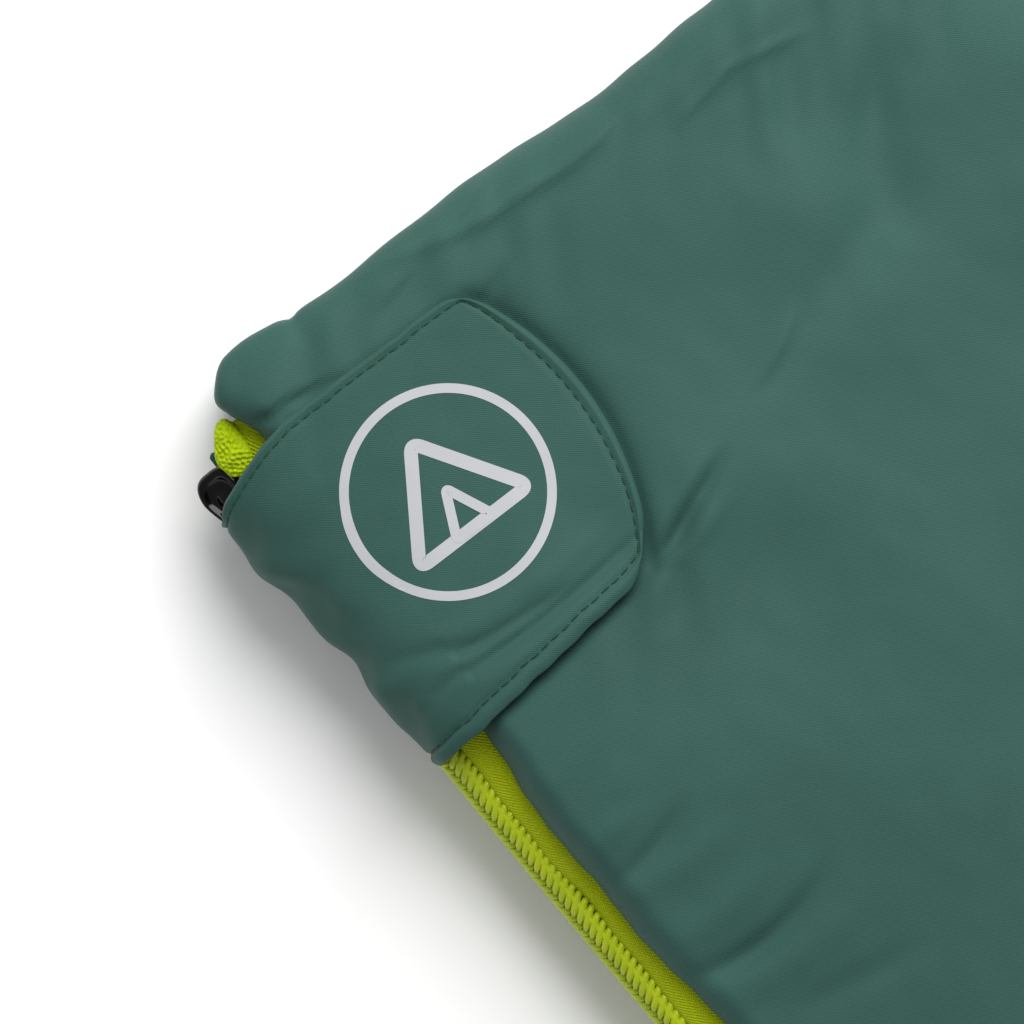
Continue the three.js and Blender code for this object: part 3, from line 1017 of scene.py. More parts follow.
@dataclass(frozen=True)
class FlapSurface:
    """The flap's surface: over the upper shell, round the edge and down the side.

    Its first coordinate is the distance from the tip along the cloth, and its
    second runs from 0 at the head hem to 1 at the foot hem.
    """

    shape: Shape
    tip: float = 64.3 * MM
    turn: float = 6 * MM
    thickness: float = 1.1 * MM
    bow: float = 10.5 * MM
    bow_reach: float = 46 * MM
    head_radius: float = 8 * MM
    foot_radius: float = 14 * MM
    over_edge: float = 33 * MM
    down_side: float = 20 * MM
    centre: float = 57 * MM

    @property
    def width(self) -> float:
        """Distance between the flap's hems at the rim."""
        return self.foot_hem(0.0) - self.head_hem(0.0)

    def head_hem(self, across: Array) -> Array:
        """Distance of the head hem from the quilt's own hem, in metres."""
        t = np.clip((8 * MM - across) / (25.5 * MM), 0.0, 1.0)
        wobble = 0.14 * MM * ripple(across / MM, 6, 22, 73)
        return 17.3 * MM + 8.6 * MM * t**1.6 + wobble

    @staticmethod
    def stitch(share: Array) -> Array:
        """How far the stitching lies inside the edge: least at the head hem, most at the foot hem."""
        return (2.1 + 0.7 * smoothstep(share, 0.03, 0.25) + 1.1 * smoothstep(share, 0.75, 0.95)) * MM

    def foot_hem(self, across: Array) -> Array:
        """Distance of the foot hem from the quilt's own hem, in metres."""
        wobble = 0.14 * MM * ripple(across / MM, 6, 22, 79)
        return 96.8 * MM - 0.105 * across + wobble

    def height(self, across: Array, along: Array) -> Array:
        """Height of the flap's upper face where it lies on the quilt.

        Args:
            across: distance from the zip rim, in metres.
            along: distance from the head hem, in metres.

        Returns:
            Height above the floor.
        """
        shape = self.shape
        x, y = shape.rim_x + across, shape.head_y - along
        a, b = across / MM, along / MM
        base = shape.height + 0.45 * shape.relief(x, y) + 1.5 * MM
        edge = np.exp(-np.clip(a, 0, None) / 9.0)
        return base + MM * (self.own(a, b) - 2.2 * edge)

    @staticmethod
    def own(a: Array, b: Array) -> Array:
        """The flap's own rise and fall in millimetres, at millimetres from rim and hem."""
        total = 0.2 * waves(a, b, 22, 60, 61) + 0.03 * waves(a, b, 7, 15, 67)
        for mark in FLAP_RELIEF:
            total = total + mark.relief(a, b)
        return total

    def press(self, x: Array, y: Array) -> Array:
        """How far the flap dents the padding under and around it."""
        across, along = x - self.shape.rim_x, self.shape.head_y - y
        head, foot = self.head_hem(across), self.foot_hem(across)
        share = (along - head) / (foot - head)
        tip = self.tip - self.bow * np.clip(2.0 * (share - 0.47), -1.0, 1.1) ** 2
        to_head, to_side = along - head, np.minimum(tip - across, foot - along)
        inside = np.minimum(to_head, to_side)
        groove = np.exp(-np.clip(-to_side - 0.2 * MM, 0.0, None) / (2.4 * MM))
        groove = groove * smoothstep(to_head, -1 * MM, 6 * MM)
        groove = groove * (1.0 - 0.8 * smoothstep(inside, 3 * MM, 9 * MM))
        under = smoothstep(inside, -1.0 * MM, 4 * MM)
        lift = np.clip(0.55 * self.shape.relief(x, y), 0.0, None)
        return under * lift + 2.2 * MM * groove

    def bulge(self, share: Array) -> Array:
        """How far the flap stands out past the rim: most over the slider, with a few puffs."""
        return smooth_line(share, FLAP_PUFFS) * MM

    def point(self, from_tip: Array, share: Array) -> Plane:
        """Points of the flap's upper face, with the direction that faces out.

        The section lies on the quilt as far as the turn, then follows two
        joined cubic curves, one out and down to the widest place and one in
        to the root seam.

        Args:
            from_tip: distance from the tip along the section.
            share: place between the head hem (0) and the foot hem (1).

        Returns:
            Points and unit vectors in the X-Z plane, each with a last axis of 3.
        """
        shape = self.shape
        flat = self.tip - self.turn
        whole = self.over_edge + self.down_side
        widest = self.over_edge / whole
        t = np.clip((from_tip - flat) / whole, 0.0, 1.0)
        bulge = self.bulge(share)
        top_along = self.head_hem(0 * share) * (1 - share) + self.foot_hem(0 * share) * share
        start_z = self.height(np.full_like(share, self.turn), top_along)
        wide_z = shape.middle + 2 * MM
        first = np.clip(t / widest, 0.0, 1.0)
        second = np.clip((t - widest) / (1.0 - widest), 0.0, 1.0)
        reach = bulge + self.turn
        x1 = self._bezier(first, self.turn, self.turn - 0.62 * reach, -bulge, -bulge)
        dip = start_z - 0.125 * 0.62 * reach
        z1 = self._bezier(first, start_z, dip, wide_z + 0.5 * (start_z - wide_z), wide_z)
        x2 = self._bezier(second, -bulge, -bulge, -bulge + 1 * MM, -0.62 * bulge)
        z2 = self._bezier(second, wide_z, wide_z - 9 * MM, 6 * MM, 5.0 * MM)
        down = t > widest
        across = np.where(t > 0, np.where(down, x2, x1), self.tip - from_tip)
        along = self.head_hem(across) * (1 - share) + self.foot_hem(across) * share
        z = np.where(t > 0, np.where(down, z2, z1), self.height(across, along))
        a, b, edge = across / MM, along / MM, self.turn / MM
        carried = (self.own(a, b) - self.own(np.full_like(a, edge), b)) * MM
        fade = np.clip(1.0 - 1.15 * first, 0.0, None) ** 0.8 * (t > 0)
        z = z + carried * fade
        calm_ends = np.sin(math.pi * np.clip(t * 1.2, 0, 1)) ** 2
        sag = 0.55 * MM * waves(along / MM, t * 30, 9, 24, 71) * calm_ends
        across = across - sag
        sway = shape.sway(along) * (1 - 0.6 * smoothstep(across, 0.0, self.tip))
        place = np.stack([shape.rim_x + across + sway, shape.head_y - along, z], axis=-1)
        slope = np.gradient(place, axis=0)
        outward = np.stack([slope[..., 2], np.zeros_like(z), -slope[..., 0]], axis=-1)
        return place, unit(outward)

    @staticmethod
    def _bezier(t: Array, a: Array | float, b: Array | float, c: Array | float, d: Array | float) -> Array:
        """A cubic through a and d, drawn towards b and c."""
        s = 1.0 - t
        return s**3 * a + 3 * s * s * t * b + 3 * s * t * t * c + t**3 * d

    def rounded(self, from_tip: Array, from_hem: Array) -> Plane:
        """Rounds the two corners of the tip.

        Args:
            from_tip: distance from the tip.
            from_hem: distance from the head hem.

        Returns:
            The distance from the tip and the share between the hems.
        """
        width = self.width
        a, b = round_corner(from_tip, from_hem, self.head_radius)
        a, c = round_corner(a, width - b, self.foot_radius)
        share = 1.0 - c / width
        fade = np.clip(1.0 - a / self.bow_reach, 0.0, None) ** 2
        return a + self.bow * (2.0 * (share - 0.47)) ** 2 * fade, share


# Each pad: CAD node, body, depth of its base under the flap's face and thickness below that, in mm.
FASTENER_PADS = (("hook_pad", "flap_tip", 1.75, 0.15), ("loop_pad", "top_half", 2.75, 1.2))


@dataclass
class Flap:
    """The two-ply closing flap with its stitching, print and fastener pads."""

    surface: FlapSurface
    split: float = 90 * MM
    root: float = 110.5 * MM
    border: float = 1.1 * MM

    def _sheet(self, lines: Array, name: str, palette: Palette, nodes: Sequence[str]) -> Piece:
        """One stretch of the flap as a thin closed body.

        The cloth is thickest in the turned hem outside the stitching, pinched
        along the stitching and rounded off at its very edge.

        Args:
            lines: distances of the grid lines from the tip; a stretch that
                starts at 0 ends in the rounded tip.
            name: name of the piece.
            palette: the built materials.
            nodes: the CAD nodes that it stands for.

        Returns:
            The new piece.
        """
        surface = self.surface
        width = surface.width
        edge = rim_stations(self.border, 5)
        inner = graded([(width - 2 * edge[-1], 0.9 * MM)])
        hems = np.concatenate([edge, edge[-1] + inner[1:-1], width - edge[::-1]])
        grid_tip, grid_hem = np.meshgrid(lines, hems, indexing="ij")
        from_tip, share = grid_tip, grid_hem / width
        distance = np.minimum(grid_hem, width - grid_hem)
        if lines[0] == 0.0:
            from_tip, share = surface.rounded(grid_tip, grid_hem)
            distance = np.minimum(grid_tip, distance)
        place, outward = surface.point(from_tip, share)
        stitch = surface.stitch(share)
        hem = np.exp(-(((distance - 0.5 * stitch) / (1.0 * MM)) ** 2))
        pinch = np.exp(-(((distance - stitch) / (0.55 * MM)) ** 2))
        full = surface.thickness * roll(distance, self.border)
        puff = (0.5 * hem - 0.66 * pinch) * MM
        drop = surface.thickness * (1.0 - roll(distance, self.border)) * 0.5
        upper = place + outward * (puff - drop)[..., None]
        lower = place - outward * (full + drop)[..., None]
        cloth = np.stack([from_tip, share * width], axis=-1)
        parts = closed_sheet(upper[::-1], lower[::-1], cloth[::-1])
        parts.faces = parts.faces[:, ::-1]
        return palette.piece(name, parts, [SHELL], stands_for=nodes)

    def build(self, palette: Palette) -> list[Piece]:
        """Makes the flap and everything on it.

        Args:
            palette: the built materials.

        Returns:
            The new pieces.
        """
        surface = self.surface
        tip_lines = np.concatenate([rim_stations(self.border, 5), graded([(self.split, 0.8 * MM)])[2:]])
        tip = self._sheet(tip_lines, "flap_tip", palette, ["flap_tip_outer", "flap_tip_inner"])
        wrap_lines = np.linspace(self.split, self.root, 40)
        nodes = ["flap_side_outer", "flap_side_inner", "flap_root_seam"]
        wrap = self._sheet(wrap_lines, "flap_wrap", palette, nodes)
        width = surface.width
        stitching = self._stitching(palette)
        for piece in (tip, stitching):
            self._bend(piece)
        self._bend(wrap)
        return [tip, wrap, stitching, self._print(palette), *self._pads(palette)]

    def _line_in(self) -> Plane:
        """The line of the stitching, which follows the flap's edge inside it.

        Returns:
            Distances from the tip and shares between the hems, closely spaced
            from the head hem round the tip to the foot hem.
        """
        surface = self.surface
        width = surface.width
        steps = 400
        ends = surface.stitch(np.array([0.0, 1.0]))
        across = np.linspace(0.0, 1.0, steps)
        over = ends[0] + (width - ends.sum()) * across
        inset = surface.stitch(over / width)
        up = np.linspace(self.split - 2 * MM, inset[0], steps)
        back = np.linspace(inset[-1], self.split - 2 * MM, steps)
        grid_tip = np.concatenate([up, inset, back])
        grid_hem = np.concatenate([np.full(steps, ends[0]), over, np.full(steps, width - ends[1])])
        return surface.rounded(grid_tip, grid_hem)

    def _on_flap(self, from_tip: Array, share: Array, lift: Array | float) -> Array:
        """Points above the flap's upper face."""
        surface = self.surface
        step = 0.2 * MM
        ladder = np.stack([from_tip - step, from_tip, from_tip + step])
        place, outward = surface.point(ladder, np.stack([share] * 3))
        return place[1] + outward[1] * np.asarray(lift)[..., None]

    def _stitching(self, palette: Palette) -> Piece:
        """A row of short thread stitches round the flap, each a small bent tube."""
        from_tip, share = self._line_in()
        length = along_line(self._on_flap(from_tip, share, 0.0 * share))
        pitch, reach, rings = 3.0 * MM, 2.3 * MM, 6
        rng = np.random.default_rng(83)
        stitches = []
        for start in np.arange(1 * MM, length[-1] - pitch, pitch):
            at = start + np.linspace(0.0, reach, rings) + rng.normal(0.0, 0.06 * MM)
            tips = np.interp(at, length, from_tip)
            shares = np.interp(at, length, share)
            arch = np.sin(np.linspace(0.0, math.pi, rings))
            path = self._on_flap(tips, shares, (0.22 * arch - 0.32) * MM)
            ahead = unit(np.gradient(path, axis=0))
            side = unit(np.cross(ahead, [0.0, 0.0, 1.0]))
            girth = 0.17 * MM * (0.55 + 0.45 * arch)
            radii = np.stack([girth, girth * 0.8], axis=1)
            stitches.append(tube(path, side, np.cross(side, ahead), radii, 8))
        return palette.piece("flap_topstitch", stitches, [THREAD])

    def _bend(self, piece: Piece) -> None:
        """Bakes a piece's transform into its mesh, leaving it at the world's origin.

        Args:
            piece: the piece.
        """
        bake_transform(piece)

    def _print(self, palette: Palette) -> Piece:
        """A plain printed ring with the outline of a ridge tent inside it."""
        middle = np.array([26.8, 51.2])
        turn = np.linspace(0.0, math.tau, 181)
        ring = 22.6 * np.column_stack([np.cos(turn), np.sin(turn)])
        tent = self._rounded_loop([(0.0, -13.5), (15.0, 9.5), (-15.0, 9.5)], 2.4)
        door = self._rounded_loop([(0.0, -1.0), (4.8, 9.5), (-4.8, 9.5)], 1.2)
        bars = [(ring + middle, 1.05, 0.11), (tent + middle, 1.5, 0.11), (door + middle, 1.1, 0.16)]
        parts = [self._bar(path, half, lift * MM) for path, half, lift in bars]
        piece = palette.piece("flap_print", parts, [PRINT], "flap_tip")
        piece.data.shade_flat()
        return piece

    @staticmethod
    def _rounded_loop(corners: Profile, radius: float) -> Array:
        """A closed line through corners, each rounded by averaging along the line."""
        knots = np.array([*corners, corners[0]], float)
        reach = np.concatenate([[0.0], np.cumsum(np.hypot(*np.diff(knots, axis=0).T))])
        count = 240
        at = np.arange(count) * reach[-1] / count
        line = np.column_stack([np.interp(at, reach, knots[:, k]) for k in (0, 1)])
        half = max(1, round(radius / (reach[-1] / count)))
        total = sum(np.roll(line, k, axis=0) for k in range(-half, half + 1)) / (2 * half + 1)
        return np.vstack([total, total[:1]])

    def _bar(self, path: Array, half: float, raised: float) -> MeshParts:
        """A thin printed line along a closed path given in millimetres from rim and hem."""
        ahead = loop_heading(path)
        side = np.column_stack([-ahead[:, 1], ahead[:, 0]])
        offsets = np.linspace(-half, half, 4)
        flat = (path[:, None] + side[:, None] * offsets[None, :, None]) * MM
        surface = self.surface
        across, along = flat[..., 0], flat[..., 1]
        head = surface.head_hem(across)
        share = (along - head) / (surface.foot_hem(across) - head)
        count = share.size
        place = [
            self._on_flap((surface.tip - across).ravel(), share.ravel(), np.full(count, lift))
            for lift in (raised, -0.05 * MM)
        ]
        upper, lower = (points.reshape(*flat.shape[:2], 3) for points in place)
        parts = closed_sheet(upper, lower, flat)
        area = np.cross(upper[1, 0] - upper[0, 0], upper[0, 1] - upper[0, 0])[2]
        if area < 0:
            parts.faces = parts.faces[:, ::-1]
        return parts

    def _pads(self, palette: Palette) -> list[Piece]:
        """Hook pad under the flap and loop pad on the shell, with napped faces."""
        surface, shape = self.surface, self.surface.shape
        made = []
        for node, body, sunk, thick in FASTENER_PADS:
            x, y, edge = box_grid(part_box(node), 22, 52)
            nap = 0.12 * MM * waves(x / MM, y / MM, 1.6, 4.0, 91)
            base = surface.height(x - shape.rim_x, shape.head_y - y) - sunk * MM
            top = base + (0.45 * roll(edge, 1.2 * MM)) * MM + nap * roll(edge, 1.2 * MM) * 0.5
            parts = slab(x, y, top, base - thick * MM)
            made.append(palette.piece(f"{node}_nap", parts, [HOOKS], body, [node]))
        return made


# ---- zip


@dataclass(frozen=True)
class ZipLine:
    """The line that the zip follows: down the side, round the corner, along the foot."""

    shape: Shape
    head_start: float
    fold_end: float

    @property
    def side(self) -> float:
        """Length of the straight stretch down the side."""
        shape = self.shape
        return shape.head_y - self.head_start - shape.foot_y - shape.foot_corner

    @property
    def length(self) -> float:
        """Length of the line along the padded rim."""
        corner = self.shape.foot_corner
        return self.side + math.pi / 2 * corner + self.fold_end - self.shape.rim_x - corner

    def frame(self, station: Array) -> tuple[Array, Array, Array]:
        """Places on the rim, with the directions along the zip and out of the quilt.

        Args:
            station: distances along the line from its head end.

        Returns:
            Points, unit vectors along the line and unit vectors outwards, all
            with a last axis of 3; the points are at the middle height.
        """
        shape, side = self.shape, self.side
        arc = math.pi / 2 * shape.foot_corner
        angle = np.clip((station - side) / arc, 0.0, 1.0) * (math.pi / 2)
        down = np.minimum(station, side)
        foot = np.clip(station - side - arc, 0.0, None)
        out = np.stack([-np.cos(angle), -np.sin(angle), 0 * angle], axis=-1)
        ahead = np.stack([np.sin(angle), -np.cos(angle), 0 * angle], axis=-1)
        centre_x = shape.rim_x + shape.foot_corner
        centre_y = shape.head_y - self.head_start - down
        place = np.stack([centre_x + foot, centre_y, 0 * angle + shape.middle], axis=-1)
        place = place + out * shape.foot_corner
        sway = shape.sway(self.head_start + station) * (station < side)
        tuck = 4.2 * MM * (1.0 - smoothstep(station, 0.0, 13 * MM))
        place[..., 0] += sway + tuck
        return place, ahead, out


@dataclass(frozen=True)
class Row:
    """One row of the zip: the section of its tape and the seat of its coil.

    Sections are (outwards from the rim, above the middle) in millimetres.
    """

    name: str
    body: str
    tape: tuple[Pair, ...]
    coil_root: Pair
    coil_head: Pair
    phase: float


UPPER_ROW = Row(
    "upper",
    "top_half",
    ((-4.0, 9.4), (-1.2, 9.2), (1.4, 8.6), (3.8, 7.7), (5.5, 6.5), (6.1, 4.0), (7.4, 2.8), (8.8, 1.6)),
    (5.7, 5.1),
    (9.7, 3.5),
    0.0,
)
LOWER_ROW = Row(
    "lower",
    "bottom_half",
    ((-4.0, -8.6), (-1.0, -8.4), (2.0, -7.6), (5.2, -6.6), (7.6, -5.0), (9.0, -2.6), (9.5, -0.2)),
    (10.5, -2.0),
    (9.8, 2.0),
    0.5,
)


HEAD_STOP_SHIFT = 5.0 * MM
# One loop of the coil as points (along the zip, from root to head, out of its plane), in millimetres,
# and the thickness of the loop at each.
COIL_LOOP = (
    (-1.70, -0.10, -0.40), (-1.55, 0.10, 0.25), (-1.05, 0.85, 0.62), (0.00, 2.10, 0.72),
    (1.00, 3.30, 0.60), (1.55, 4.10, 0.15), (1.65, 4.10, -0.50),
)
COIL_GIRTH = (0.70, 0.90, 0.98, 0.98, 0.90, 0.74, 0.55)


@dataclass
class Zip:
    """Both rows of the zip: woven tapes, coils of real loops and metal stops."""

    line: ZipLine
    pitch: float = 2.1 * MM
    hidden: float = 8.4 * MM
    foot_hidden: float = 15 * MM
    tape_thickness: float = 0.5 * MM

    def build(self, palette: Palette) -> list[Piece]:
        """Makes the tapes, the coils, the stops, the folded end and the tab."""
        rows = [make(row, palette) for row in (UPPER_ROW, LOWER_ROW) for make in (self._tape, self._coil)]
        return [*rows, self._tape_end(palette), self._end_tab(palette), *self._stops(palette)]

    def _tape(self, row: Row, palette: Palette) -> Piece:
        """The tape of one row, a thin closed strip that follows its section."""
        stations = graded([(230 * MM, 1.2 * MM), (self.line.length, 8 * MM)])
        section = np.array(row.tape) * MM
        knots = np.arange(len(section))
        fine = np.linspace(0, len(section) - 1, 22)
        curve = np.column_stack([np.interp(fine, knots, section[:, k]) for k in (0, 1)])
        for _ in range(3):
            curve[1:-1] = (curve[:-2] + 2 * curve[1:-1] + curve[2:]) / 4
        slope = unit(np.gradient(curve, axis=0))
        normal = np.column_stack([-slope[:, 1], slope[:, 0]])
        if row.body == "bottom_half":
            normal = -normal
        place, _, out = self.line.frame(stations)
        wobble = 0.22 * MM * ripple(stations / MM, 14, 40, 101)[:, None, None]
        faces = []
        for offset in (self.tape_thickness / 2, -self.tape_thickness / 2):
            at = curve + normal * offset
            points = place[:, None] + out[:, None] * (at[None, :, :1] + wobble)
            points[..., 2] += at[None, :, 1]
            faces.append(points)
        cloth = np.stack(np.broadcast_arrays(along_line(curve)[None], stations[:, None]), axis=-1)
        parts = closed_sheet(faces[0], faces[1], cloth)
        parts.faces = parts.faces if row.body == "bottom_half" else parts.faces[:, ::-1]
        node = f"zip_tape_{row.name}"
        return palette.piece(f"{node}_woven", parts, [TAPE], row.body, [node])

    def _coil(self, row: Row, palette: Palette) -> Piece:
        """The coil of one row: a loop for every pitch, on a cord that fills it."""
        node = f"zip_coil_{row.name}"
        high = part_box(node)[1]
        start = self.line.shape.head_y - high.y - self.line.head_start
        end = self.line.length - (self.line.fold_end - high.x)
        stations = np.arange(start + self.hidden, end - self.foot_hidden, self.pitch)
        stations = stations + row.phase * self.pitch
        root, head = np.array(row.coil_root) * MM, np.array(row.coil_head) * MM
        reach = float(np.hypot(*(head - root)))
        across = (head - root) / reach
        lift = np.array([-across[1], across[0]])
        if lift[0] < 0:
            lift = -lift
        shape = np.array(COIL_LOOP)
        shape[:, 1] *= reach / (4.3 * MM)
        shape = shape * MM
        place, ahead, out = self.line.frame(stations)
        girth = np.array(COIL_GIRTH) * MM
        slope = unit(np.gradient(shape, axis=0))
        first = unit(np.cross(slope, [1.0, 0.0, 0.0]))
        pattern = tube(shape, first, np.cross(slope, first), np.stack([girth, girth], axis=1), 6)
        local = pattern.points
        flat = local[:, 1:2] * across + local[:, 2:3] * lift + root
        points = place[:, None] + ahead[:, None] * local[None, :, :1] + out[:, None] * flat[None, :, :1]
        points[..., 2] += flat[None, :, 1]
        count = len(stations)
        faces = (pattern.faces[None] + (np.arange(count) * len(local))[:, None, None]).reshape(-1, 4)
        cloth = np.tile(local[:, :2], (count, 1))
        loops = facing_out(MeshParts(points.reshape(-1, 3), faces, cloth, np.zeros(len(faces))))
        core = root + across * 1.7 * MM + lift * 0.35 * MM
        line = graded([(end, 6 * MM)])
        line = line[line > start]
        place, ahead, out = self.line.frame(line)
        path = place + out * core[0] + np.array([0.0, 0.0, core[1]])
        cord = tube(path, np.cross(ahead, out), out, np.full((len(line), 2), 1.1 * MM), 6)
        return palette.piece(f"{node}_loops", [loops, cord], [COIL], row.body, [node])

    def _tape_end(self, palette: Palette) -> Piece:
        """The folded head end of the upper tape, a soft lump with a coarse weave."""
        low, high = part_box("zip_tape_end")
        half = (4.4 * MM, 6.4 * MM)
        outline = oval(circle(160), half, (0.7, 0.7))
        rings = [(s, 2.3 * MM * math.sqrt(1 - s**2.4)) for s in np.linspace(0.04, 0.995, 40)]
        rings += [(1.0, -0.4 * MM), (0.93, -1.3 * MM), (0.1, -1.5 * MM)]
        lump = plate(outline, rings)
        points = lump.points.copy()
        to_head = smoothstep(points[:, 1], -0.2 * half[1], 1.1 * half[1])
        points[:, 0] = points[:, 0] * (1.0 - 0.45 * to_head) + 2.2 * MM * to_head
        x, y = points[:, 0] / MM, points[:, 1] / MM
        knit = waves(x, y, 1.0, 1.35, 103) + 0.9 * waves(x, y, 2.6, 5.0, 107)
        points[:, 2] += 0.15 * MM * knit * (points[:, 2] > 0)
        centre = np.array([(low.x + high.x) / 2 - 0.3 * MM, (low.y + high.y) / 2 + 0.5 * MM, 27.0 * MM])
        x, z = rotated(points[:, 0], points[:, 2], math.radians(24))
        place = np.column_stack([x, points[:, 1], z]) + centre
        parts = MeshParts(place, lump.faces, lump.cloth, lump.slots)
        return palette.piece("zip_tape_end_fold", parts, [KNIT], "top_half", ["zip_tape_end"])

    def _end_tab(self, palette: Palette) -> Piece:
        """The small folded tab of shell cloth under the head end of the zip."""
        low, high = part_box("zip_end_tab")
        low.x, low.y, high.y = low.x + 1.2 * MM, low.y + 3.6 * MM, high.y - 2.6 * MM
        x, y, edge = box_grid((low, high), 22, 16)
        curl = 1.4 * MM * ((high.x - x) / (high.x - low.x)) ** 2
        wave = 0.15 * MM * waves(x / MM, y / MM, 4, 9, 109)
        z = (low.z + high.z) / 2 + curl + wave
        half = 0.55 * MM * roll(edge, 0.8 * MM)
        y = y + 0.25 * MM * ripple(x / MM, 2.0, 5.0, 113)
        parts = slab(x, y, z + half, z - half - 0.05 * MM)
        return palette.piece("zip_end_tab_cloth", parts, [SHELL], "bottom_half", ["zip_end_tab"])

    def _stops(self, palette: Palette) -> list[Piece]:
        """The four crimped end stops, small rounded blocks with a waist."""
        made = []
        for row, end in product((UPPER_ROW, LOWER_ROW), ("head", "foot")):
            node = f"zip_stop_{end}_{row.name}"
            low, high = (np.array(corner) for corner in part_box(node))
            size = (high - low) / 2
            half = [(0.2, 1.0), (0.8, 1.0), (0.95, 0.86), (1.0, 0.6)]
            rings = [(scale, height * size[2]) for scale, height in mirrored(half, 0.93)]
            centre = (high + low) / 2
            if end == "head":
                centre[0] += HEAD_STOP_SHIFT
            block = moved(plate(oval(circle(32), size, (0.4, 0.4)), rings), lambda p, c=centre: p + c)
            made.append(palette.piece(f"{node}_crimp", block, [STOP], row.body, [node]))
        return made


# ---- sliders


@dataclass
class Slider:
    """A zip slider with its pull tab, in its own frame.

    In that frame X points out of the quilt, Y along the zip towards its closed
    end and Z is chosen to make the frame right-handed or left-handed as needed.
    """

    name: str
    out: Pair
    closed: Pair
    tilt: float
    chain: float = 9.2 * MM
    length: float = 16 * MM
    nose_width: float = 11.6 * MM
    tail_width: float = 8.2 * MM
    stand_out: float = 2.5 * MM
    set_back: float = 1.2 * MM
    pull_drop: float = 0.6 * MM
    lip: float = 1.0
    dish_floor: float = -1.0
    outer_plate: float = 11.4 * MM
    inner_plate: float = 6.4 * MM
    wedge: float = 8.9 * MM
    flange: float = 9.9 * MM
    pull_depth: float = 12.95 * MM
    rim_overlap: float = 4.7 * MM

    def _place(self, tilt: float) -> Callable[[Array], Array]:
        """Carries points from the slider's frame to the row frame, tilted about the chain."""
        low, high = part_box(f"{self.name}_slider_body")
        out = np.array([*self.out, 0.0])
        closed = np.array([*self.closed, 0.0])
        middle = (np.array(low) + np.array(high)) / 2
        reach = (np.array(high) - np.array(low)) @ np.abs(out) / 2
        rim = middle - out * (reach + self.rim_overlap - self.stand_out)

        def carry(points: Array) -> Array:
            """Turns points about the chain and moves them to the row frame."""
            outward, up = rotated(points[:, 0] - self.chain, points[:, 2], tilt)
            back = points[:, 1] - self.set_back
            place = rim + np.outer(self.chain + outward, out) + np.outer(back, closed)
            return place + np.outer(up, [0.0, 0.0, 1.0])

        return carry

    def _outline(self) -> Array:
        """Outline of a plate: a broad round nose that narrows to a square tail."""
        outline = oval(circle(96), (1.0, self.length / 2), (0.6, 0.75))
        outline[:, 0] *= self._half_width(outline[:, 1])
        return outline

    def _half_width(self, y: Array) -> Array:
        """Half the width of a plate at places along the slider."""
        share = smoothstep(y, -0.3 * self.length, 0.25 * self.length)
        return (self.tail_width + (self.nose_width - self.tail_width) * share) / 2

    def _oriented(self, parts: MeshParts, normal: float, offset: float) -> MeshParts:
        """Turns a plate built on Z so that its face looks along the slider's X."""
        across, along, high = parts.points.T
        points = np.column_stack([offset + normal * high, along, across])
        return MeshParts(points, parts.faces, parts.cloth, parts.slots)

    def build(self, palette: Palette) -> list[Piece]:
        """Makes the slider body and its pull tab.

        Args:
            palette: the built materials.

        Returns:
            The two new pieces.
        """
        outline = self._outline()
        dish = [(0.1, 0.75), (0.2, 0.65), (0.3, 0.3), (0.4, 0.0), (0.52, -0.1), (0.62, 0.15), (0.7, 0.7)]
        lip = [(0.76, 1.15), (0.82, 1.35), (0.88, 1.3), (0.94, 1.0), (0.98, 0.5), (1.0, 0.0), (0.99, -0.5)]
        lip += [(0.95, -0.7), (0.1, -0.75)]
        dish = [(scale, max(height, self.dish_floor)) for scale, height in dish]
        face = [(scale, height * MM * (self.lip if height > 0 else 1.0)) for scale, height in dish + lip]
        outer = self._oriented(plate(outline, face), 1.0, self.outer_plate)
        back = [(0.1, 0.6), (0.9, 0.6), (0.97, 0.4), (1.0, 0.0), (0.97, -0.4), (0.9, -0.5), (0.1, -0.5)]
        back = [(scale, height * MM) for scale, height in back]
        inner = self._oriented(plate(outline * 0.94, back), -1.0, self.inner_plate)
        parts = [outer, inner, self._wedge(), self._crown(), *self._flanges()]
        made = []
        kinds = (("slider_cast", "slider", "slider_body"), ("slider_pull_cast", "pull", "slider_pull"))
        for kind, tilt, shapes in zip(kinds, (self.tilt, 0.0), (parts, self._pull())):
            piece, body, node = (f"{self.name}_{word}" for word in kind)
            placed = [facing_out(moved(p, self._place(tilt))) for p in shapes]
            made.append(palette.piece(piece, placed, [ENAMEL], body, [node]))
        return made

    def _wedge(self) -> MeshParts:
        """The wedge between the two rows of coils, a post with a pointed section."""
        rings = [(0.3, 2.4 * MM), (1.0, 2.4 * MM), (1.0, -2.4 * MM), (0.3, -2.4 * MM)]
        outline = oval(circle(32), (0.45 * MM, 4.5 * MM), (1.0, 1.0))
        post = self._oriented(plate(outline, rings), 1.0, self.wedge)
        post.points[:, 1] += 3.0 * MM
        return post

    def _flanges(self) -> list[MeshParts]:
        """The two turned-in sides that hold the coils between the plates."""
        made = []
        y = np.linspace(-0.46, 0.40, 15) * self.length
        half = self._half_width(y)
        fade = roll(np.minimum(y - y[0], y[-1] - y) + 0.3 * MM, 2.0 * MM)
        for sign in (1.0, -1.0):
            path = np.column_stack([np.full_like(y, self.flange), y, sign * (half - 0.75 * MM)])
            side = np.tile([1.0, 0.0, 0.0], (len(y), 1))
            up = np.tile([0.0, 0.0, 1.0], (len(y), 1))
            radii = np.column_stack([1.9 * MM * fade, 0.62 * MM * fade])
            made.append(tube(path, side, up, radii, 16))
        return made

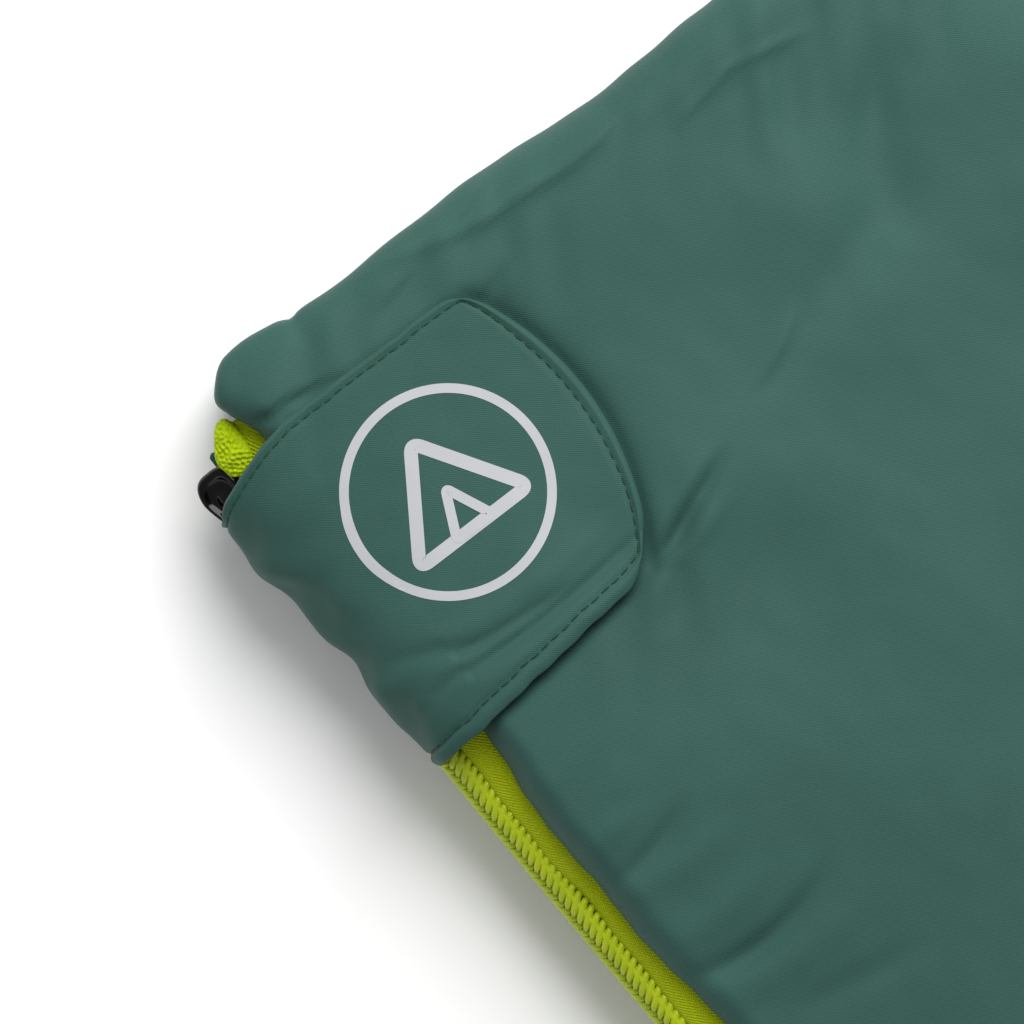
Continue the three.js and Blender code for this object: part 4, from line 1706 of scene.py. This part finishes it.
    def _crown(self) -> MeshParts:
        """The arch over the outer plate that the pull tab hangs from."""
        t = np.linspace(0.0, math.pi, 19)
        high, along = 11.6 * MM + 2.4 * MM * np.sin(t) ** 0.6, -3.6 * MM - 3.8 * MM * np.cos(t)
        path = np.column_stack([high, along, 0 * t])
        ahead = unit(np.gradient(path, axis=0))
        side = np.tile([0.0, 0.0, 1.0], (len(t), 1))
        radii = np.tile([1.1 * MM, 0.42 * MM], (len(t), 1))
        return tube(path, side, np.cross(ahead, side), radii, 10)

    def _pull(self) -> list[MeshParts]:
        """The pull tab: an eye of round wire under the crown and a flat grip."""
        eye_half, reach = 3.0 * MM, 8.4 * MM
        depth = self.pull_depth - self.stand_out - self.pull_drop
        t = np.linspace(0.0, math.tau, 41)
        loop = oval(t, (reach / 2, eye_half), (0.6, 0.6)) - [reach / 2, 0.0]
        path = np.column_stack([np.full_like(t, depth), loop])
        ahead = loop_heading(path)
        side = np.tile([1.0, 0.0, 0.0], (len(t), 1))
        eye = tube(path, side, np.cross(ahead, side), np.full((len(t), 2), 0.62 * MM), 10)
        outline = oval(circle(64), (3.5 * MM, 12.6 * MM), (0.6, 0.45))
        half = [(0.1, 0.35), (0.6, 0.35), (0.72, 0.6), (0.9, 0.72), (0.97, 0.55)]
        rings = [(scale, height * MM) for scale, height in mirrored(half, 1.0)]
        grip = self._oriented(plate(outline, rings), 1.0, depth)
        grip.points[:, 1] -= 21.0 * MM
        return [eye, grip]


def build_label(palette: Palette) -> Piece:
    """Makes the blank care label between the halves: a soft strip with a faint wave."""
    low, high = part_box("care_label")
    x, y, _ = box_grid((low, high), 30, 24)
    z = (low.z + high.z) / 2 + 0.08 * MM * waves(x / MM, y / MM, 12, 30, 131)
    parts = slab(x, y, z + 0.12 * MM, z - 0.12 * MM)
    piece = palette.piece("care_label_strip", parts, [LABEL], "bottom_half", ["care_label"])
    return piece


# ---- studio


@dataclass(frozen=True)
class Studio:
    """Plain pale floor, soft light from beyond the head end, and the camera."""

    view_width: float = 222.6 * MM
    distance: float = 1.5
    roll: float = 37.5
    aim: Pair = (35.2 * MM, 63.1 * MM)
    floor_half: float = 60.0
    key_power: float = 8.8
    key_size: float = 0.75
    key_distance: float = 1.0
    key_height: float = 49.0
    key_bearing: float = 38.0
    fill_strength: float = 0.8
    fill_angle: float = 40.0
    sky: float = 0.44

    def build(self, shape: Shape) -> None:
        """Makes the camera, the floor and the lights.

        Args:
            shape: the quilt's shape, for the corner that the camera looks at.
        """
        scene = bpy.context.scene
        scene.view_settings.view_transform = "Standard"
        data = bpy.data.cameras.new("camera")
        camera = bpy.data.objects.new("camera", data)
        scene.collection.objects.link(camera)
        scene.camera = camera
        data.sensor_width = 36.0
        data.lens = data.sensor_width * self.distance / self.view_width
        data.clip_start, data.clip_end = 0.01, 200.0
        x, y = shape.rim_x + self.aim[0], shape.head_y - self.aim[1]
        camera.location = (x, y, shape.height + self.distance)
        camera.rotation_euler = (0.0, 0.0, -math.radians(self.roll))
        self._floor()
        self._lights(Vector((x, y, shape.height)))

    def _floor(self) -> None:
        """A large plain floor just under the quilt."""
        half = self.floor_half
        mesh = bpy.data.meshes.new("floor")
        corners = [(-half, -half, 0), (half, -half, 0), (half, half, 0), (-half, half, 0)]
        mesh.from_pydata(corners, [], [(0, 1, 2, 3)])
        floor = bpy.data.objects.new("floor", mesh)
        bpy.context.scene.collection.objects.link(floor)
        material = bpy.data.materials.new("floor_paper")
        material.use_nodes = True
        shader = material.node_tree.nodes["Principled BSDF"]
        shader.inputs["Base Color"].default_value = (1.0, 1.0, 1.0, 1.0)
        shader.inputs["Roughness"].default_value = 0.9
        shader.inputs["Specular IOR Level"].default_value = 0.1
        mesh.materials.append(material)

    def _lights(self, corner: Vector) -> None:
        """A soft box over the zipped corner, a broad sun for the rest and a white surround.

        Args:
            corner: the point that the soft box faces.
        """
        scene = bpy.context.scene
        bearing, height = math.radians(self.key_bearing), math.radians(self.key_height)
        level = math.cos(height)
        towards = Vector((math.cos(bearing) * level, math.sin(bearing) * level, math.sin(height)))
        turn = towards.to_track_quat("Z", "Y").to_euler()
        box = bpy.data.lights.new("key", "AREA")
        box.shape = "DISK"
        box.size = self.key_size
        box.energy = self.key_power
        key = bpy.data.objects.new("key", box)
        key.location = corner + towards * self.key_distance
        key.visible_camera = False
        sun = bpy.data.lights.new("fill", "SUN")
        sun.energy = self.fill_strength
        sun.angle = math.radians(self.fill_angle)
        fill = bpy.data.objects.new("fill", sun)
        for lamp in (key, fill):
            lamp.rotation_euler = turn
            scene.collection.objects.link(lamp)
        world = bpy.data.worlds.new("surround")
        scene.world = world
        world.use_nodes = True
        background = world.node_tree.nodes["Background"]
        background.inputs["Color"].default_value = (1.0, 1.0, 1.0, 1.0)
        background.inputs["Strength"].default_value = self.sky


def main() -> None:
    """Loads the frame and builds the camera, the quilt and its fittings."""
    logging.basicConfig(level=logging.INFO, format="%(name)s: %(message)s")
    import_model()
    shape = Shape.from_frame()
    Studio().build(shape)
    palette = Palette()
    flap = FlapSurface(shape)
    PaddedHalf(shape, Side.TOP, flap).build(palette)
    PaddedHalf(shape, Side.BOTTOM).build(palette)
    Fold(shape).build(palette)
    tape_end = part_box("zip_tape_upper")[1]
    Zip(ZipLine(shape, shape.head_y - tape_end.y, tape_end.x)).build(palette)
    Flap(flap).build(palette)
    Slider("head", (-1.0, 0.0), (0.0, 1.0), math.radians(58)).build(palette)
    flush = {"stand_out": 0.0, "set_back": 0.0, "pull_drop": 0.0, "lip": 0.38, "dish_floor": 1.1}
    Slider("foot", (0.0, -1.0), (1.0, 0.0), 0.0, **flush).build(palette)
    build_label(palette)


if __name__ == "__main__":
    main()
